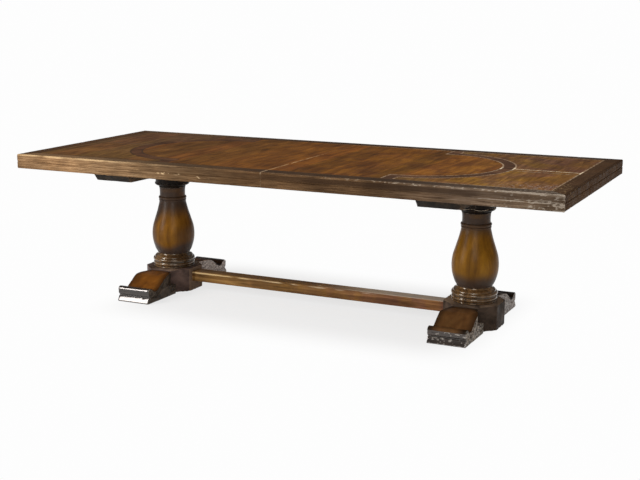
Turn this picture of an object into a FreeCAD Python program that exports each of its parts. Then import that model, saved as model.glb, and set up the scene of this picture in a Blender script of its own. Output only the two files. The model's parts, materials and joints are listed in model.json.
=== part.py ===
import FreeCAD, Part
import math
import os
from types import SimpleNamespace

import Sketcher

# An extending dining table. Two turned pedestals on scroll feet are tied by one low stretcher and carry
# arched bearers. The inlaid top is cut across the middle, and each half slides outwards on runners.
# X runs along the table, Y across it from front to back, Z up. The origin is on the floor at the centre.

SIZES = {
    # Whole table
    "table_length": 2808,
    "table_width": 1140,
    "table_height": 760,
    "pedestal_offset": 848,
    # Base block
    "block_width": 270,
    "block_chamfer": 72,
    "block_height": 122,
    # Scroll foot, as reaches from the pedestal's axis and heights above the floor
    "foot_width": 186,
    "foot_reach": 396,
    "foot_crown": 114,
    "cheek_reach": 225,
    "cheek_level": 56,
    "toe_plinth": 22,
    "toe_groove_depth": 11,
    "toe_groove_height": 6,
    "roll_setback": 24,
    "roll_top": 75,
    "roll_rise": 18.4,
    "roll_back_hollow": 3,
    "valley_reach": 312,
    "valley_height": 59,
    "ogee_hollow": 5,
    "ogee_reach": 262,
    "ogee_height": 89,
    "crown_reach": 210,
    "crown_rise": 7,
    # Turned collar on the block
    "collar_height": 74,
    "drum_base_radius": 108,
    "drum_radius": 110,
    "drum_height": 26,
    "drum_swell": 1,
    "collar_groove": 3,
    "collar_bead_height": 9,
    "collar_bead_rise": 3,
    "rim_radius": 112.5,
    "rim_height": 8,
    "shoulder_radius": 97,
    "shoulder_height": 15,
    "shoulder_rise": 2,
    "waist_radius": 85.5,
    "waist_hollow": 2.5,
    # Turned baluster
    "belly_radius": 112.4,
    "belly_height_share": 0.36,
    "belly_lower_rise": 6.8,
    "belly_upper_rise": 5.7,
    "flank_radius": 90,
    "flank_height_share": 0.7,
    "throat_radius": 70.5,
    "throat_hollow": 4.6,
    "neck_bead_height": 16,
    "neck_bead_rise": 4.5,
    "neck_radius": 67.5,
    "neck_height": 49,
    "neck_fillet_height": 6,
    "neck_top_radius": 68.5,
    # Turned capital
    "capital_height": 86,
    "capital_radius": 92,
    "capital_flare_height": 17,
    "capital_flare_rise": 4,
    # Bearer
    "bearer_width": 206,
    "bearer_depth": 52,
    "bearer_inset": 25,
    "bearer_root": 220,
    "bearer_tip": 65,
    "bearer_tip_depth": 36,
    "bearer_bevel": 30,
    "bearer_hollow": 3,
    # Stretcher
    "stretcher_depth": 74,
    "stretcher_height": 54,
    "stretcher_underside": 51,
    "stretcher_chamfer": 4,
    "tenon_length": 42,
    "tenon_depth": 46,
    "tenon_height": 30,
    # Tie rod, nuts and washers
    "rod_radius": 6,
    "rod_tail": 4,
    "nut_radius": 11,
    "nut_height": 10,
    "washer_radius": 15,
    "washer_thickness": 2.5,
    "nut_recess_radius": 18,
    "nut_recess_depth": 18,
    # Foot dowels
    "dowel_radius": 8,
    "dowel_length": 60,
    "dowel_spread": 80,
    "dowel_level": 60,
    # Slide rails and runners
    "slide_gap": 0.4,
    "rail_offset": 250,
    "rail_width": 40,
    "rail_height": 38,
    "groove_depth": 12,
    "groove_height": 12,
    "groove_level": 13,
    "running_clearance": 0.8,
    "runner_width": 36,
    "runner_lift": 3,
    "runner_start": 40,
    "runner_end_gap": 21,
    "screw_radius": 2.5,
    "screw_head_radius": 5,
    "screw_head_height": 3,
    "rail_screw_bite": 22,
    "rail_screw_spread": 120,
    "runner_screw_bite": 11.6,
    "runner_screw_margin": 70,
    "runner_screw_count": 4,
    # Top: border, core and veneer
    "edge_depth": 73,
    "border_width": 74,
    "lower_reed": 36,
    "reed_groove_depth": 7,
    "reed_groove_half": 4,
    "edge_round_top": 8,
    "edge_round_bottom": 6,
    "ledge_width": 15,
    "core_thickness": 20,
    "veneer": 2,
    "seam_gap": 0.5,
    # Inlay
    "string_width": 8,
    "ring_margin": 58,
    "ring_band": 67,
    "ring_end_gap": 304,
    "cross_band": 66,
    "axis_band": 65,
    # Alignment pins in the seam
    "pin_radius": 5,
    "pin_root": 30,
    "pin_nose": 20,
    "pin_near": 150,
    "pin_inset": 96,
    "pin_clearance": 0.4,
    # Fits and cuts
    "fit_clearance": 0.2,
    "cut_overrun": 5,
}

SIDES = {"left": -1, "right": 1}
ENDS = {"front": -1, "back": 1}
AXES = {
    "X": FreeCAD.Rotation(FreeCAD.Vector(0, 1, 0), 90),
    "Y": FreeCAD.Rotation(FreeCAD.Vector(1, 0, 0), -90),
    "Z": FreeCAD.Rotation(),
}

doc = FreeCAD.newDocument("dining_table")
sheet = doc.addObject("Spreadsheet::Sheet", "sizes")
for row, (name, value) in enumerate(SIZES.items(), start=1):
    sheet.set(f"A{row}", name)
    sheet.set(f"B{row}", str(value))
    sheet.setAlias(f"B{row}", name)
doc.recompute()
pockets = []


class Dim:
    """A length that carries its number and the sheet expression that drives it."""

    def __init__(self, value, text):
        self.value = value
        self.text = text

    def __add__(self, other):
        other = dim(other)
        return Dim(self.value + other.value, f"({self.text} + {other.text})")

    def __sub__(self, other):
        other = dim(other)
        return Dim(self.value - other.value, f"({self.text} - {other.text})")

    def __mul__(self, other):
        other = dim(other)
        return Dim(self.value * other.value, f"({self.text} * {other.text})")

    def __truediv__(self, other):
        other = dim(other)
        return Dim(self.value / other.value, f"({self.text} / {other.text})")

    def __neg__(self):
        return Dim(-self.value, f"(-1 * {self.text})")

    __rmul__ = __mul__


def dim(number):
    return number if isinstance(number, Dim) else Dim(float(number), f"({number})")


def root(size):
    return Dim(math.sqrt(size.value), f"sqrt({size.text})")


s = SimpleNamespace(**{name: Dim(float(value), f"sizes.{name}") for name, value in SIZES.items()})


# Building blocks


def bind(item, path, size):
    item.setExpression(path, dim(size).text)


def place(item, x=0, y=0, z=0):
    for axis, size in zip("xyz", (x, y, z)):
        bind(item, f"Placement.Base.{axis}", size)


def mirrored(side, low, high):
    """The span from low to high on the positive side, or its mirror image."""
    return (low, high) if side > 0 else (-high, -low)


def new(kind, label):
    item = doc.addObject(kind, label)
    item.Label = label
    return item


def add_side(sketch, here, there, rise):
    """Draw one side of an outline, bowed by rise, and return its number and the places of its two ends."""
    start = FreeCAD.Vector(here[0].value, here[1].value, 0)
    end = FreeCAD.Vector(there[0].value, there[1].value, 0)
    if rise is None:
        return sketch.addGeometry(Part.LineSegment(start, end)), 1, 2
    outward = rise.value > 0
    bow = rise if outward else -rise
    run = there[0] - here[0]
    climb = there[1] - here[1]
    radius = (run * run + climb * climb + 4 * bow * bow) / (8 * bow)
    chord = end - start
    inward = FreeCAD.Vector(-chord.y, chord.x, 0).normalize()
    middle = (start + end) / 2
    centre = middle + inward * (radius.value - bow.value) * (1 if outward else -1)
    first, last = (start, end) if outward else (end, start)
    turn_from = math.atan2(first.y - centre.y, first.x - centre.x)
    turn_to = math.atan2(last.y - centre.y, last.x - centre.x)
    if turn_to < turn_from:
        turn_to += 2 * math.pi
    circle = Part.Circle(centre, FreeCAD.Vector(0, 0, 1), radius.value)
    number = sketch.addGeometry(Part.ArcOfCircle(circle, turn_from, turn_to))
    held = sketch.addConstraint(Sketcher.Constraint("Radius", number, radius.value))
    bind(sketch, f"Constraints[{held}]", radius)
    return (number, 1, 2) if outward else (number, 2, 1)


def draw(piece, plane, points, offset=0, side=1):
    """Sketch a closed outline; a point's third value bows the side that follows it to the right."""
    sketch = piece.newObject("Sketcher::SketchObject", f"{piece.Name}_outline")
    support = next(item for item in piece.Origin.OriginFeatures if item.Role == plane)
    sketch.AttachmentSupport = (support, [""])
    sketch.MapMode = "FlatFace"
    bind(sketch, "AttachmentOffset.Base.z", offset)
    corners = [(side * dim(point[0]), dim(point[1])) for point in points]
    lines = []
    for index, point in enumerate(points):
        rise = side * dim(point[2]) if len(point) > 2 else None
        lines.append(add_side(sketch, corners[index], corners[(index + 1) % len(points)], rise))
    for index, (number, start, _) in enumerate(lines):
        before, _, end = lines[index - 1]
        sketch.addConstraint(Sketcher.Constraint("Coincident", before, end, number, start))
        for kind, size in zip(("DistanceX", "DistanceY"), corners[index]):
            held = sketch.addConstraint(Sketcher.Constraint(kind, -1, 1, number, start, size.value))
            bind(sketch, f"Constraints[{held}]", size)
    return sketch


def pad(piece, sketch, length):
    feature = piece.newObject("PartDesign::Pad", f"{piece.Name}_pad")
    feature.Profile = sketch
    bind(feature, "Length", length)


def pocket(piece, sketch, length):
    """Cut down from the sketch, against its normal."""
    feature = piece.newObject("PartDesign::Pocket", f"{piece.Name}_pocket")
    feature.Profile = sketch
    bind(feature, "Length", length)
    pockets.append(feature)


def prism(label, plane, points, start, length, side=1):
    piece = new("PartDesign::Body", label)
    pad(piece, draw(piece, plane, points, start, side), length)
    return piece


def turned(label, points, x, z):
    """A piece turned on a lathe: points are radii and heights, and its bore clears the tie rod."""
    piece = new("PartDesign::Body", label)
    bore = s.rod_radius + s.fit_clearance
    outline = [(bore, 0)] + points + [(bore, points[-1][1])]
    feature = piece.newObject("PartDesign::Revolution", f"{piece.Name}_turning")
    sketch = draw(piece, "XZ_Plane", outline)
    feature.Profile = sketch
    feature.ReferenceAxis = (sketch, ["V_Axis"])
    feature.Angle = 360
    place(piece, x=x, z=z)
    return piece


def box(label, x, y, z):
    """A square-edged piece, given as its spans along X, Y and Z."""
    piece = new("Part::Box", label)
    for path, (low, high) in zip(("Length", "Width", "Height"), (x, y, z)):
        bind(piece, path, dim(high) - low)
    place(piece, x[0], y[0], z[0])
    return piece


def peg(label, x, y, z, radius, length, axis="Z"):
    """A round peg that starts at a point and runs along an axis."""
    piece = new("Part::Cylinder", label)
    bind(piece, "Radius", radius)
    bind(piece, "Height", length)
    piece.Placement.Rotation = AXES[axis]
    place(piece, x, y, z)
    return piece


def cut(label, blank, tools):
    piece = new("Part::Cut", label)
    piece.Base = blank
    piece.Tool = tools[0] if len(tools) == 1 else fused(f"{label}_cutter", tools)
    return piece


def fused(label, pieces):
    piece = new("Part::MultiFuse", label)
    piece.Shapes = pieces
    return piece


def group(label, pieces):
    piece = new("Part::Compound", label)
    piece.Links = pieces
    return piece


# Levels and lines that several pieces share

half_length = s.table_length / 2
half_width = s.table_width / 2
edge_underside = s.table_height - s.edge_depth
bearer_top = edge_underside - s.slide_gap
bearer_underside = bearer_top - s.bearer_depth
capital_level = bearer_underside - s.capital_height
collar_level = s.block_height
baluster_level = collar_level + s.collar_height
baluster_height = capital_level - baluster_level
block_half = s.block_width / 2
block_flat = block_half - s.block_chamfer
foot_half = s.foot_width / 2
bore_radius = s.rod_radius + s.fit_clearance
field_end = half_length - s.border_width
field_side = half_width - s.border_width
core_top = s.table_height - s.veneer
core_underside = core_top - s.core_thickness
seam = s.seam_gap / 2
rail_top = bearer_top + s.rail_height
rail_inner = s.rail_offset - s.rail_width / 2
rail_outer = s.rail_offset + s.rail_width / 2
rail_web = rail_outer - s.groove_depth
runner_inner = rail_outer + s.running_clearance
runner_outer = runner_inner + s.runner_width
runner_underside = bearer_top + s.runner_lift
runner_end = field_end - s.ledge_width - s.runner_end_gap
screw_hole = s.screw_radius + s.fit_clearance
screw_web = (rail_inner + rail_web) / 2
screw_runner = (runner_inner + runner_outer) / 2
rail_screw_length = s.rail_height + s.rail_screw_bite
runner_screw_length = core_underside - runner_underside + s.runner_screw_bite
pin_level = core_underside + s.core_thickness / 2
# Rise of a quarter circle, as a share of its radius
quarter_share = 1 - math.sqrt(0.5)

# Places of the fasteners

rail_screws = [
    (side * s.pedestal_offset + step * s.rail_screw_spread / 2, end * screw_web)
    for side in SIDES.values()
    for end in ENDS.values()
    for step in (-1, 1)
]
runner_pitch = (runner_end - s.runner_start - 2 * s.runner_screw_margin) / (s.runner_screw_count - 1)
runner_screws = [
    s.runner_start + s.runner_screw_margin + step * runner_pitch
    for step in range(SIZES["runner_screw_count"])
]
pin_places = [end * y for end in ENDS.values() for y in (s.pin_near, field_side - s.pin_inset)]


def screw(label, x, y, z, length, upward):
    """A round-headed wood screw whose head fills its counterbore at z."""
    shank_start = z if upward else z - length
    cap_start = z if upward else z - s.screw_head_height
    piece = new("Part::Fuse", label)
    piece.Base = peg(f"{label}_shank", x, y, shank_start, s.screw_radius, length)
    piece.Tool = peg(f"{label}_cap", x, y, cap_start, s.screw_head_radius, s.screw_head_height)
    return piece


def screw_bores(label, x, y, z, length, upward):
    """The hole and counterbore for a screw whose head lies at z."""
    over = s.cut_overrun
    sink = s.screw_head_height + s.fit_clearance
    drill = length + s.fit_clearance
    low = z - over if upward else z - drill
    low_sink = z - over if upward else z - sink
    return [
        peg(f"{label}_drill", x, y, low, screw_hole, drill + over),
        peg(f"{label}_sink", x, y, low_sink, s.screw_head_radius + s.fit_clearance, sink + over),
    ]


def rail_screw_bores(label, x, y):
    return screw_bores(f"{label}_screw", x, y, rail_top, rail_screw_length, upward=False)


def runner_screw_bores(label, x, y):
    return screw_bores(f"{label}_screw", x, y, runner_underside, runner_screw_length, upward=True)


# Base


def base_block(name, side):
    """Octagonal block: bored for the tie rod, mortised for the stretcher, drilled for the foot dowels."""
    label = f"{name}_base_block"
    corners = [
        (block_half, -block_flat),
        (block_half, block_flat),
        (block_flat, block_half),
        (-block_flat, block_half),
        (-block_half, block_flat),
        (-block_half, -block_flat),
        (-block_flat, -block_half),
        (block_flat, -block_half),
    ]
    blank = prism(f"{label}_blank", "XY_Plane", corners, 0, s.block_height)
    axis = side * s.pedestal_offset
    place(blank, x=axis)
    over = s.cut_overrun
    gap = s.fit_clearance
    inner = s.pedestal_offset - block_half
    mortise_half = s.tenon_depth / 2 + gap
    middle = s.stretcher_underside + s.stretcher_height / 2
    mortise_rise = s.tenon_height / 2 + gap
    tools = [
        peg(f"{label}_bore", axis, 0, -over, bore_radius, s.block_height + 2 * over),
        peg(f"{label}_recess", axis, 0, -over, s.nut_recess_radius, s.nut_recess_depth + over),
        box(
            f"{label}_mortise",
            mirrored(side, inner - over, inner + s.tenon_length + gap),
            (-mortise_half, mortise_half),
            (middle - mortise_rise, middle + mortise_rise),
        ),
    ]
    drill = s.dowel_length / 2 + gap
    for end_name, end in ENDS.items():
        start = block_half - drill if end > 0 else -block_half - over
        for step in (-1, 1):
            across = axis + step * s.dowel_spread / 2
            hole = f"{label}_{end_name}_dowel_hole"
            tools.append(peg(hole, across, start, s.dowel_level, s.dowel_radius + gap, drill + over, "Y"))
    return cut(label, blank, tools)


def foot(name, side, end_name, end):
    """Scroll foot with a rolled toe on a low plinth; its cheeks narrow to the block's face above a ledge."""
    label = f"{name}_{end_name}_foot"
    throat = s.foot_reach - s.toe_groove_depth
    outline = [
        (block_half, 0),
        (s.foot_reach, 0),
        (s.foot_reach, s.toe_plinth),
        (throat, s.toe_plinth),
        (throat, s.toe_plinth + s.toe_groove_height, s.roll_rise),
        (s.foot_reach - s.roll_setback, s.roll_top, -s.roll_back_hollow),
        (s.valley_reach, s.valley_height, -s.ogee_hollow),
        (s.ogee_reach, s.ogee_height, s.crown_rise),
        (s.crown_reach, s.foot_crown),
        (block_half, s.foot_crown),
    ]
    blank = new("PartDesign::Body", f"{label}_blank")
    pad(blank, draw(blank, "YZ_Plane", outline, -foot_half, end), s.foot_width)
    over = s.cut_overrun
    for cheek in (-1, 1):
        plan = [
            (cheek * foot_half, end * s.cheek_reach),
            (cheek * block_flat, end * block_half),
            (cheek * block_flat, end * (block_half - over)),
            (cheek * (foot_half + over), end * (block_half - over)),
            (cheek * (foot_half + over), end * s.cheek_reach),
        ]
        cheek_cut = draw(blank, "XY_Plane", plan, s.foot_crown + over)
        pocket(blank, cheek_cut, s.foot_crown + over - s.cheek_level)
    axis = side * s.pedestal_offset
    place(blank, x=axis)
    drill = s.dowel_length / 2 + s.fit_clearance
    start = block_half - over if end > 0 else -block_half - drill
    holes = []
    for step in (-1, 1):
        across = axis + step * s.dowel_spread / 2
        hole_radius = s.dowel_radius + s.fit_clearance
        holes.append(peg(f"{label}_hole", across, start, s.dowel_level, hole_radius, drill + over, "Y"))
    return cut(label, blank, holes)


def collar(name, side):
    """Drum, bead, rim and shoulder, turned in one piece."""
    throat = s.drum_radius - s.collar_groove
    bead_start = s.drum_height + s.collar_groove
    bead_end = bead_start + s.collar_bead_height
    rim_end = bead_end + s.rim_height
    points = [
        (s.drum_base_radius, 0, s.drum_swell),
        (s.drum_radius, s.drum_height),
        (throat, s.drum_height),
        (throat, bead_start, s.collar_bead_rise),
        (throat, bead_end),
        (s.rim_radius, bead_end),
        (s.rim_radius, rim_end, s.shoulder_rise),
        (s.shoulder_radius, rim_end + s.shoulder_height, -s.waist_hollow),
        (s.waist_radius, s.collar_height),
    ]
    return turned(f"{name}_collar", points, side * s.pedestal_offset, collar_level)


def baluster(name, side):
    """Vase with a low belly, drawn in to a beaded neck."""
    bead_start = baluster_height - s.neck_height - s.neck_bead_height
    bead_end = baluster_height - s.neck_height
    points = [
        (s.waist_radius, 0, s.belly_lower_rise),
        (s.belly_radius, bead_start * s.belly_height_share, s.belly_upper_rise),
        (s.flank_radius, bead_start * s.flank_height_share, -s.throat_hollow),
        (s.throat_radius, bead_start, s.neck_bead_rise),
        (s.throat_radius, bead_end),
        (s.neck_radius, bead_end + s.neck_fillet_height),
        (s.neck_top_radius, baluster_height),
    ]
    return turned(f"{name}_baluster", points, side * s.pedestal_offset, baluster_level)


def capital(name, side):
    """Cap that flares out to a plain drum under the bearer."""
    points = [
        (s.neck_top_radius, 0, s.capital_flare_rise),
        (s.capital_radius, s.capital_flare_height),
        (s.capital_radius, s.capital_height),
    ]
    return turned(f"{name}_capital", points, side * s.pedestal_offset, capital_level)


def bearer(name, side):
    """Cross member, deepest over the pedestal and arched a little up to its bevelled tips."""
    label = f"{name}_bearer"
    tip = half_width - s.bearer_inset
    heel = tip - s.bearer_bevel
    arch = tip - s.bearer_tip
    thin = bearer_top - s.bearer_tip_depth
    outline = [
        (-s.bearer_root / 2, bearer_underside),
        (s.bearer_root / 2, bearer_underside, -s.bearer_hollow),
        (arch, thin),
        (heel, thin),
        (tip, bearer_top),
        (-tip, bearer_top),
        (-heel, thin),
        (-arch, thin, -s.bearer_hollow),
    ]
    blank = prism(f"{label}_blank", "YZ_Plane", outline, -s.bearer_width / 2, s.bearer_width)
    axis = side * s.pedestal_offset
    place(blank, x=axis)
    over = s.cut_overrun
    recess = bearer_top - s.nut_recess_depth
    tools = [
        peg(f"{label}_bore", axis, 0, bearer_underside - over, bore_radius, s.bearer_depth + 2 * over),
        peg(f"{label}_recess", axis, 0, recess, s.nut_recess_radius, s.nut_recess_depth + over),
    ]
    for x, y in rail_screws:
        if x.value * side > 0:
            tools += rail_screw_bores(label, x, y)
    return cut(label, blank, tools)


def stretcher():
    """Low rail between the blocks, with a stub tenon at each end."""
    piece = new("PartDesign::Body", "stretcher")
    half = s.stretcher_depth / 2
    low = s.stretcher_underside
    high = low + s.stretcher_height
    bevel = s.stretcher_chamfer
    section = [
        (bevel - half, low),
        (half - bevel, low),
        (half, low + bevel),
        (half, high - bevel),
        (half - bevel, high),
        (bevel - half, high),
        (-half, high - bevel),
        (-half, low + bevel),
    ]
    shoulder = s.pedestal_offset - block_half
    pad(piece, draw(piece, "YZ_Plane", section, -shoulder), 2 * shoulder)
    middle = low + s.stretcher_height / 2
    across = s.tenon_depth / 2
    rise = s.tenon_height / 2
    tenon = [
        (-across, middle - rise),
        (across, middle - rise),
        (across, middle + rise),
        (-across, middle + rise),
    ]
    nose = shoulder + s.tenon_length
    pad(piece, draw(piece, "YZ_Plane", tenon, -nose), 2 * nose)
    return piece


# Tie rods and dowels

rod_foot = s.nut_recess_depth - s.washer_thickness - s.nut_height - s.rod_tail
rod_head = bearer_top - rod_foot
pedestal_axes = {name: side * s.pedestal_offset for name, side in SIDES.items()}


def ring_nut(label, x, z, bored):
    """Hexagonal nut on the tie rod."""
    blank = new("Part::Prism", f"{label}_blank")
    blank.Polygon = 6
    bind(blank, "Circumradius", s.nut_radius)
    bind(blank, "Height", s.nut_height)
    place(blank, x=x, z=z)
    drill = s.nut_height + 2 * s.cut_overrun
    return cut(label, blank, [peg(f"{label}_thread", x, 0, z - s.cut_overrun, bored, drill)])


def washer(label, x, z, bored):
    blank = peg(f"{label}_blank", x, 0, z, s.washer_radius, s.washer_thickness)
    drill = s.washer_thickness + 2 * s.cut_overrun
    return cut(label, blank, [peg(f"{label}_bore", x, 0, z - s.cut_overrun, bored, drill)])


def tie_rods():
    length = rod_head - rod_foot
    rods = [
        peg(f"{name}_tie_rod", x, 0, rod_foot, s.rod_radius, length)
        for name, x in pedestal_axes.items()
    ]
    return group("tie_rods", rods)


def tie_rod_nuts():
    low = rod_foot + s.rod_tail
    high = rod_head - s.rod_tail - s.nut_height
    nuts = []
    for name, x in pedestal_axes.items():
        nuts += [ring_nut(f"{name}_nut", x, z, bore_radius) for z in (low, high)]
    return group("tie_rod_nuts", nuts)


def tie_rod_washers():
    low = s.nut_recess_depth - s.washer_thickness
    high = bearer_top - s.nut_recess_depth
    washers = []
    for name, x in pedestal_axes.items():
        washers += [washer(f"{name}_washer", x, z, bore_radius) for z in (low, high)]
    return group("tie_rod_washers", washers)


def foot_dowels():
    dowels = []
    for name, x in pedestal_axes.items():
        for end in ENDS.values():
            for step in (-1, 1):
                start = end * block_half - s.dowel_length / 2
                across = x + step * s.dowel_spread / 2
                label = f"{name}_dowel"
                dowels.append(peg(label, across, start, s.dowel_level, s.dowel_radius, s.dowel_length, "Y"))
    return group("foot_dowels", dowels)


# Slides


def slide_rail(end_name, end):
    """Fixed rail on the bearers: a web and two lips that leave a groove on its outer side."""
    label = f"{end_name}_slide_rail"
    reach = s.pedestal_offset + s.bearer_width / 2
    along = (-reach, reach)
    groove_floor = bearer_top + s.groove_level
    blank = box(f"{label}_web_blank", along, mirrored(end, rail_inner, rail_web), (bearer_top, rail_top))
    holes = []
    for x, y in rail_screws:
        if y.value * end > 0:
            holes += rail_screw_bores(label, x, y)
    lips = mirrored(end, rail_web, rail_outer)
    return group(
        label,
        [
            cut(f"{label}_web", blank, holes),
            box(f"{label}_lower_lip", along, lips, (bearer_top, groove_floor)),
            box(f"{label}_upper_lip", along, lips, (groove_floor + s.groove_height, rail_top)),
        ],
    )


def slide_rail_screws():
    screws = [
        screw("slide_rail_screw", x, y, rail_top, rail_screw_length, upward=False)
        for x, y in rail_screws
    ]
    return group("slide_rail_screws", screws)


def runner(name, side, end_name, end):
    """Batten under the core with a tongue that runs in the fixed rail's groove."""
    label = f"{name}_{end_name}_runner"
    along = mirrored(side, s.runner_start, runner_end)
    gap = s.running_clearance
    groove_floor = bearer_top + s.groove_level
    across = mirrored(end, runner_inner, runner_outer)
    batten = box(f"{label}_batten_blank", along, across, (runner_underside, core_underside))
    holes = []
    for x in runner_screws:
        holes += runner_screw_bores(label, side * x, end * screw_runner)
    tongue = box(
        f"{label}_tongue",
        along,
        mirrored(end, rail_web + gap, runner_inner),
        (groove_floor + gap, groove_floor + s.groove_height - gap),
    )
    return group(label, [cut(f"{label}_batten", batten, holes), tongue])


def runner_screw_set(name, side):
    label = f"{name}_runner_screw"
    screws = []
    for end in ENDS.values():
        for x in runner_screws:
            y = end * screw_runner
            screws.append(screw(label, side * x, y, runner_underside, runner_screw_length, upward=True))
    return group(f"{label}s", screws)


# Top halves


def core(name, side):
    """Panel under the veneer, drilled for the runner screws and for the pins in the seam."""
    label = f"{name}_core"
    along = mirrored(side, seam, field_end)
    blank = box(f"{label}_blank", along, (-field_side, field_side), (core_underside, core_top))
    tools = []
    for end in ENDS.values():
        for x in runner_screws:
            tools += runner_screw_bores(label, side * x, end * screw_runner)
    depth =s.pin_root if side > 0 else s.pin_nose + s.pin_clearance
    clearance = s.fit_clearance if side > 0 else s.pin_clearance
    low, high = mirrored(side, seam - s.cut_overrun, seam + depth)
    for y in pin_places:
        tools.append(peg(f"{label}_pin_hole", low, y, pin_level, s.pin_radius + clearance, high - low, "X"))
    return cut(label, blank, tools)


def alignment_pins():
    length = s.pin_root + s.pin_nose
    pins = [peg("pin", seam - s.pin_nose, y, pin_level, s.pin_radius, length, "X") for y in pin_places]
    return group("alignment_pins", pins)


def border_section(outer):
    """Section of the solid edge: two reeds with a groove between, and a ledge that carries the core."""
    inner = outer - s.border_width
    groove = edge_underside + s.lower_reed
    return [
        (inner - s.ledge_width, edge_underside),
        (outer - s.edge_round_bottom, edge_underside, s.edge_round_bottom * quarter_share),
        (outer, edge_underside + s.edge_round_bottom),
        (outer, groove - s.reed_groove_half),
        (outer - s.reed_groove_depth, groove),
        (outer, groove + s.reed_groove_half),
        (outer, s.table_height - s.edge_round_top, s.edge_round_top * quarter_share),
        (outer - s.edge_round_top, s.table_height),
        (inner, s.table_height),
        (inner, core_underside),
        (inner - s.ledge_width, core_underside),
    ]


mitre_reach = s.border_width + s.ledge_width


def side_border(name, side, end_name, end):
    """Front or back edge of one half, mitred at the outer corner and square at the seam."""
    piece = new("PartDesign::Body", f"{name}_{end_name}_border")
    low, high = mirrored(side, seam, half_length)
    pad(piece, draw(piece, "YZ_Plane", border_section(half_width), low, end), high - low)
    over = s.cut_overrun
    waste = [
        (side * (half_length + over), end * (half_width + over)),
        (side * (half_length + over), end * (half_width - mitre_reach - over)),
        (side * (half_length - mitre_reach - over), end * (half_width - mitre_reach - over)),
    ]
    pocket(piece, draw(piece, "XY_Plane", waste, s.table_height + over), s.edge_depth + 2 * over)
    return piece


def end_border(name, side):
    """End edge of one half, mitred at both corners."""
    piece = new("PartDesign::Body", f"{name}_end_border")
    pad(piece, draw(piece, "XZ_Plane", border_section(half_length), -half_width, side), s.table_width)
    over = s.cut_overrun
    for end in ENDS.values():
        waste = [
            (side * (half_length + over), end * (half_width + over)),
            (side * (half_length - mitre_reach - over), end * (half_width + over)),
            (side * (half_length - mitre_reach - over), end * (half_width - mitre_reach - over)),
        ]
        pocket(piece, draw(piece, "XY_Plane", waste, s.table_height + over), s.edge_depth + 2 * over)
    return piece


# Inlay of one half, drawn for the right half and mirrored for the left

string = s.string_width
inlay_end = field_end - string
inlay_side = field_side - string
ring_outer = inlay_side - s.ring_margin
ring_inner = ring_outer - s.ring_band
band_outer = ring_outer - string
band_inner = ring_inner + string
ring_centre = inlay_end - s.ring_end_gap - ring_outer
cross_low = ring_centre - s.cross_band / 2
cross_high = ring_centre + s.cross_band / 2
axis_half = s.axis_band / 2


def beside(radius, away):
    """How far a circle's edge lies along one axis, at a given distance away along the other."""
    return root(radius * radius - away * away)


def bow_between(radius, here, there):
    """Rise of the arc of a circle between two points on it."""
    run = there[0] - here[0]
    climb = there[1] - here[1]
    return radius - root(radius * radius - (run * run + climb * climb) / 4)


def inlay(label, points, side):
    return prism(label, "XY_Plane", points, core_top, s.veneer, side)


def centre_field(name, side):
    """Field from the seam to the cross bands, rounded out to the ring."""
    bow = ring_inner * quarter_share
    points = [
        (seam, -inlay_side),
        (cross_low, -inlay_side),
        (cross_low, -ring_inner),
        (ring_centre, -ring_inner, bow),
        (ring_centre + ring_inner, 0, bow),
        (ring_centre, ring_inner),
        (cross_low, ring_inner),
        (cross_low, inlay_side),
        (seam, inlay_side),
    ]
    return inlay(f"{name}_centre_field", points, side)


def ring_shape(inside, outside, start):
    """Half ring whose ends run straight back to a line across the table."""
    bow_out = outside * quarter_share
    bow_in = inside * quarter_share
    return [
        (start, -outside),
        (ring_centre, -outside, bow_out),
        (ring_centre + outside, 0, bow_out),
        (ring_centre, outside),
        (start, outside),
        (start, inside),
        (ring_centre, inside, -bow_in),
        (ring_centre + inside, 0, -bow_in),
        (ring_centre, -inside),
        (start, -inside),
    ]


def ring_band(name, side):
    return inlay(f"{name}_ring_band", ring_shape(band_inner, band_outer, cross_low + string), side)


def cross_band(label, side, end):
    """Short dark band from the ring out to the border."""
    right = cross_high - string
    shelf = beside(band_outer, right - ring_centre)
    foot_point = (right, end * shelf)
    top_point = (ring_centre, end * band_outer)
    points = [
        (cross_low + string, end * inlay_side),
        (cross_low + string, end * band_outer),
        (ring_centre, end * band_outer, -end * bow_between(band_outer, top_point, foot_point)),
        foot_point,
        (right, end * inlay_side),
    ]
    return inlay(label, points, side)


def cross_bands(name, side):
    bands = [cross_band(f"{name}_{end_name}_cross_band", side, end) for end_name, end in ENDS.items()]
    return group(f"{name}_cross_bands", bands)


def axis_band(name, side):
    """Band on the centre line, from the ring to the end border."""
    edge = axis_half - string
    start = ring_centre + beside(ring_outer, edge)
    bow = bow_between(ring_outer, (start, edge), (start, -edge))
    points = [(start, -edge), (inlay_end, -edge), (inlay_end, edge), (start, edge, -bow)]
    return inlay(f"{name}_axis_band", points, side)


def corner_field(name, side, end_name, end):
    """Corner between the ring, the axis band and the border."""
    top = (cross_high, end * beside(ring_outer, cross_high - ring_centre))
    low = (ring_centre + beside(ring_outer, axis_half), end * axis_half)
    points = [
        (cross_high, end * inlay_side),
        (*top, -end * bow_between(ring_outer, top, low)),
        low,
        (inlay_end, end * axis_half),
        (inlay_end, end * inlay_side),
    ]
    return inlay(f"{name}_{end_name}_corner_field", points, side)


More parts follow.
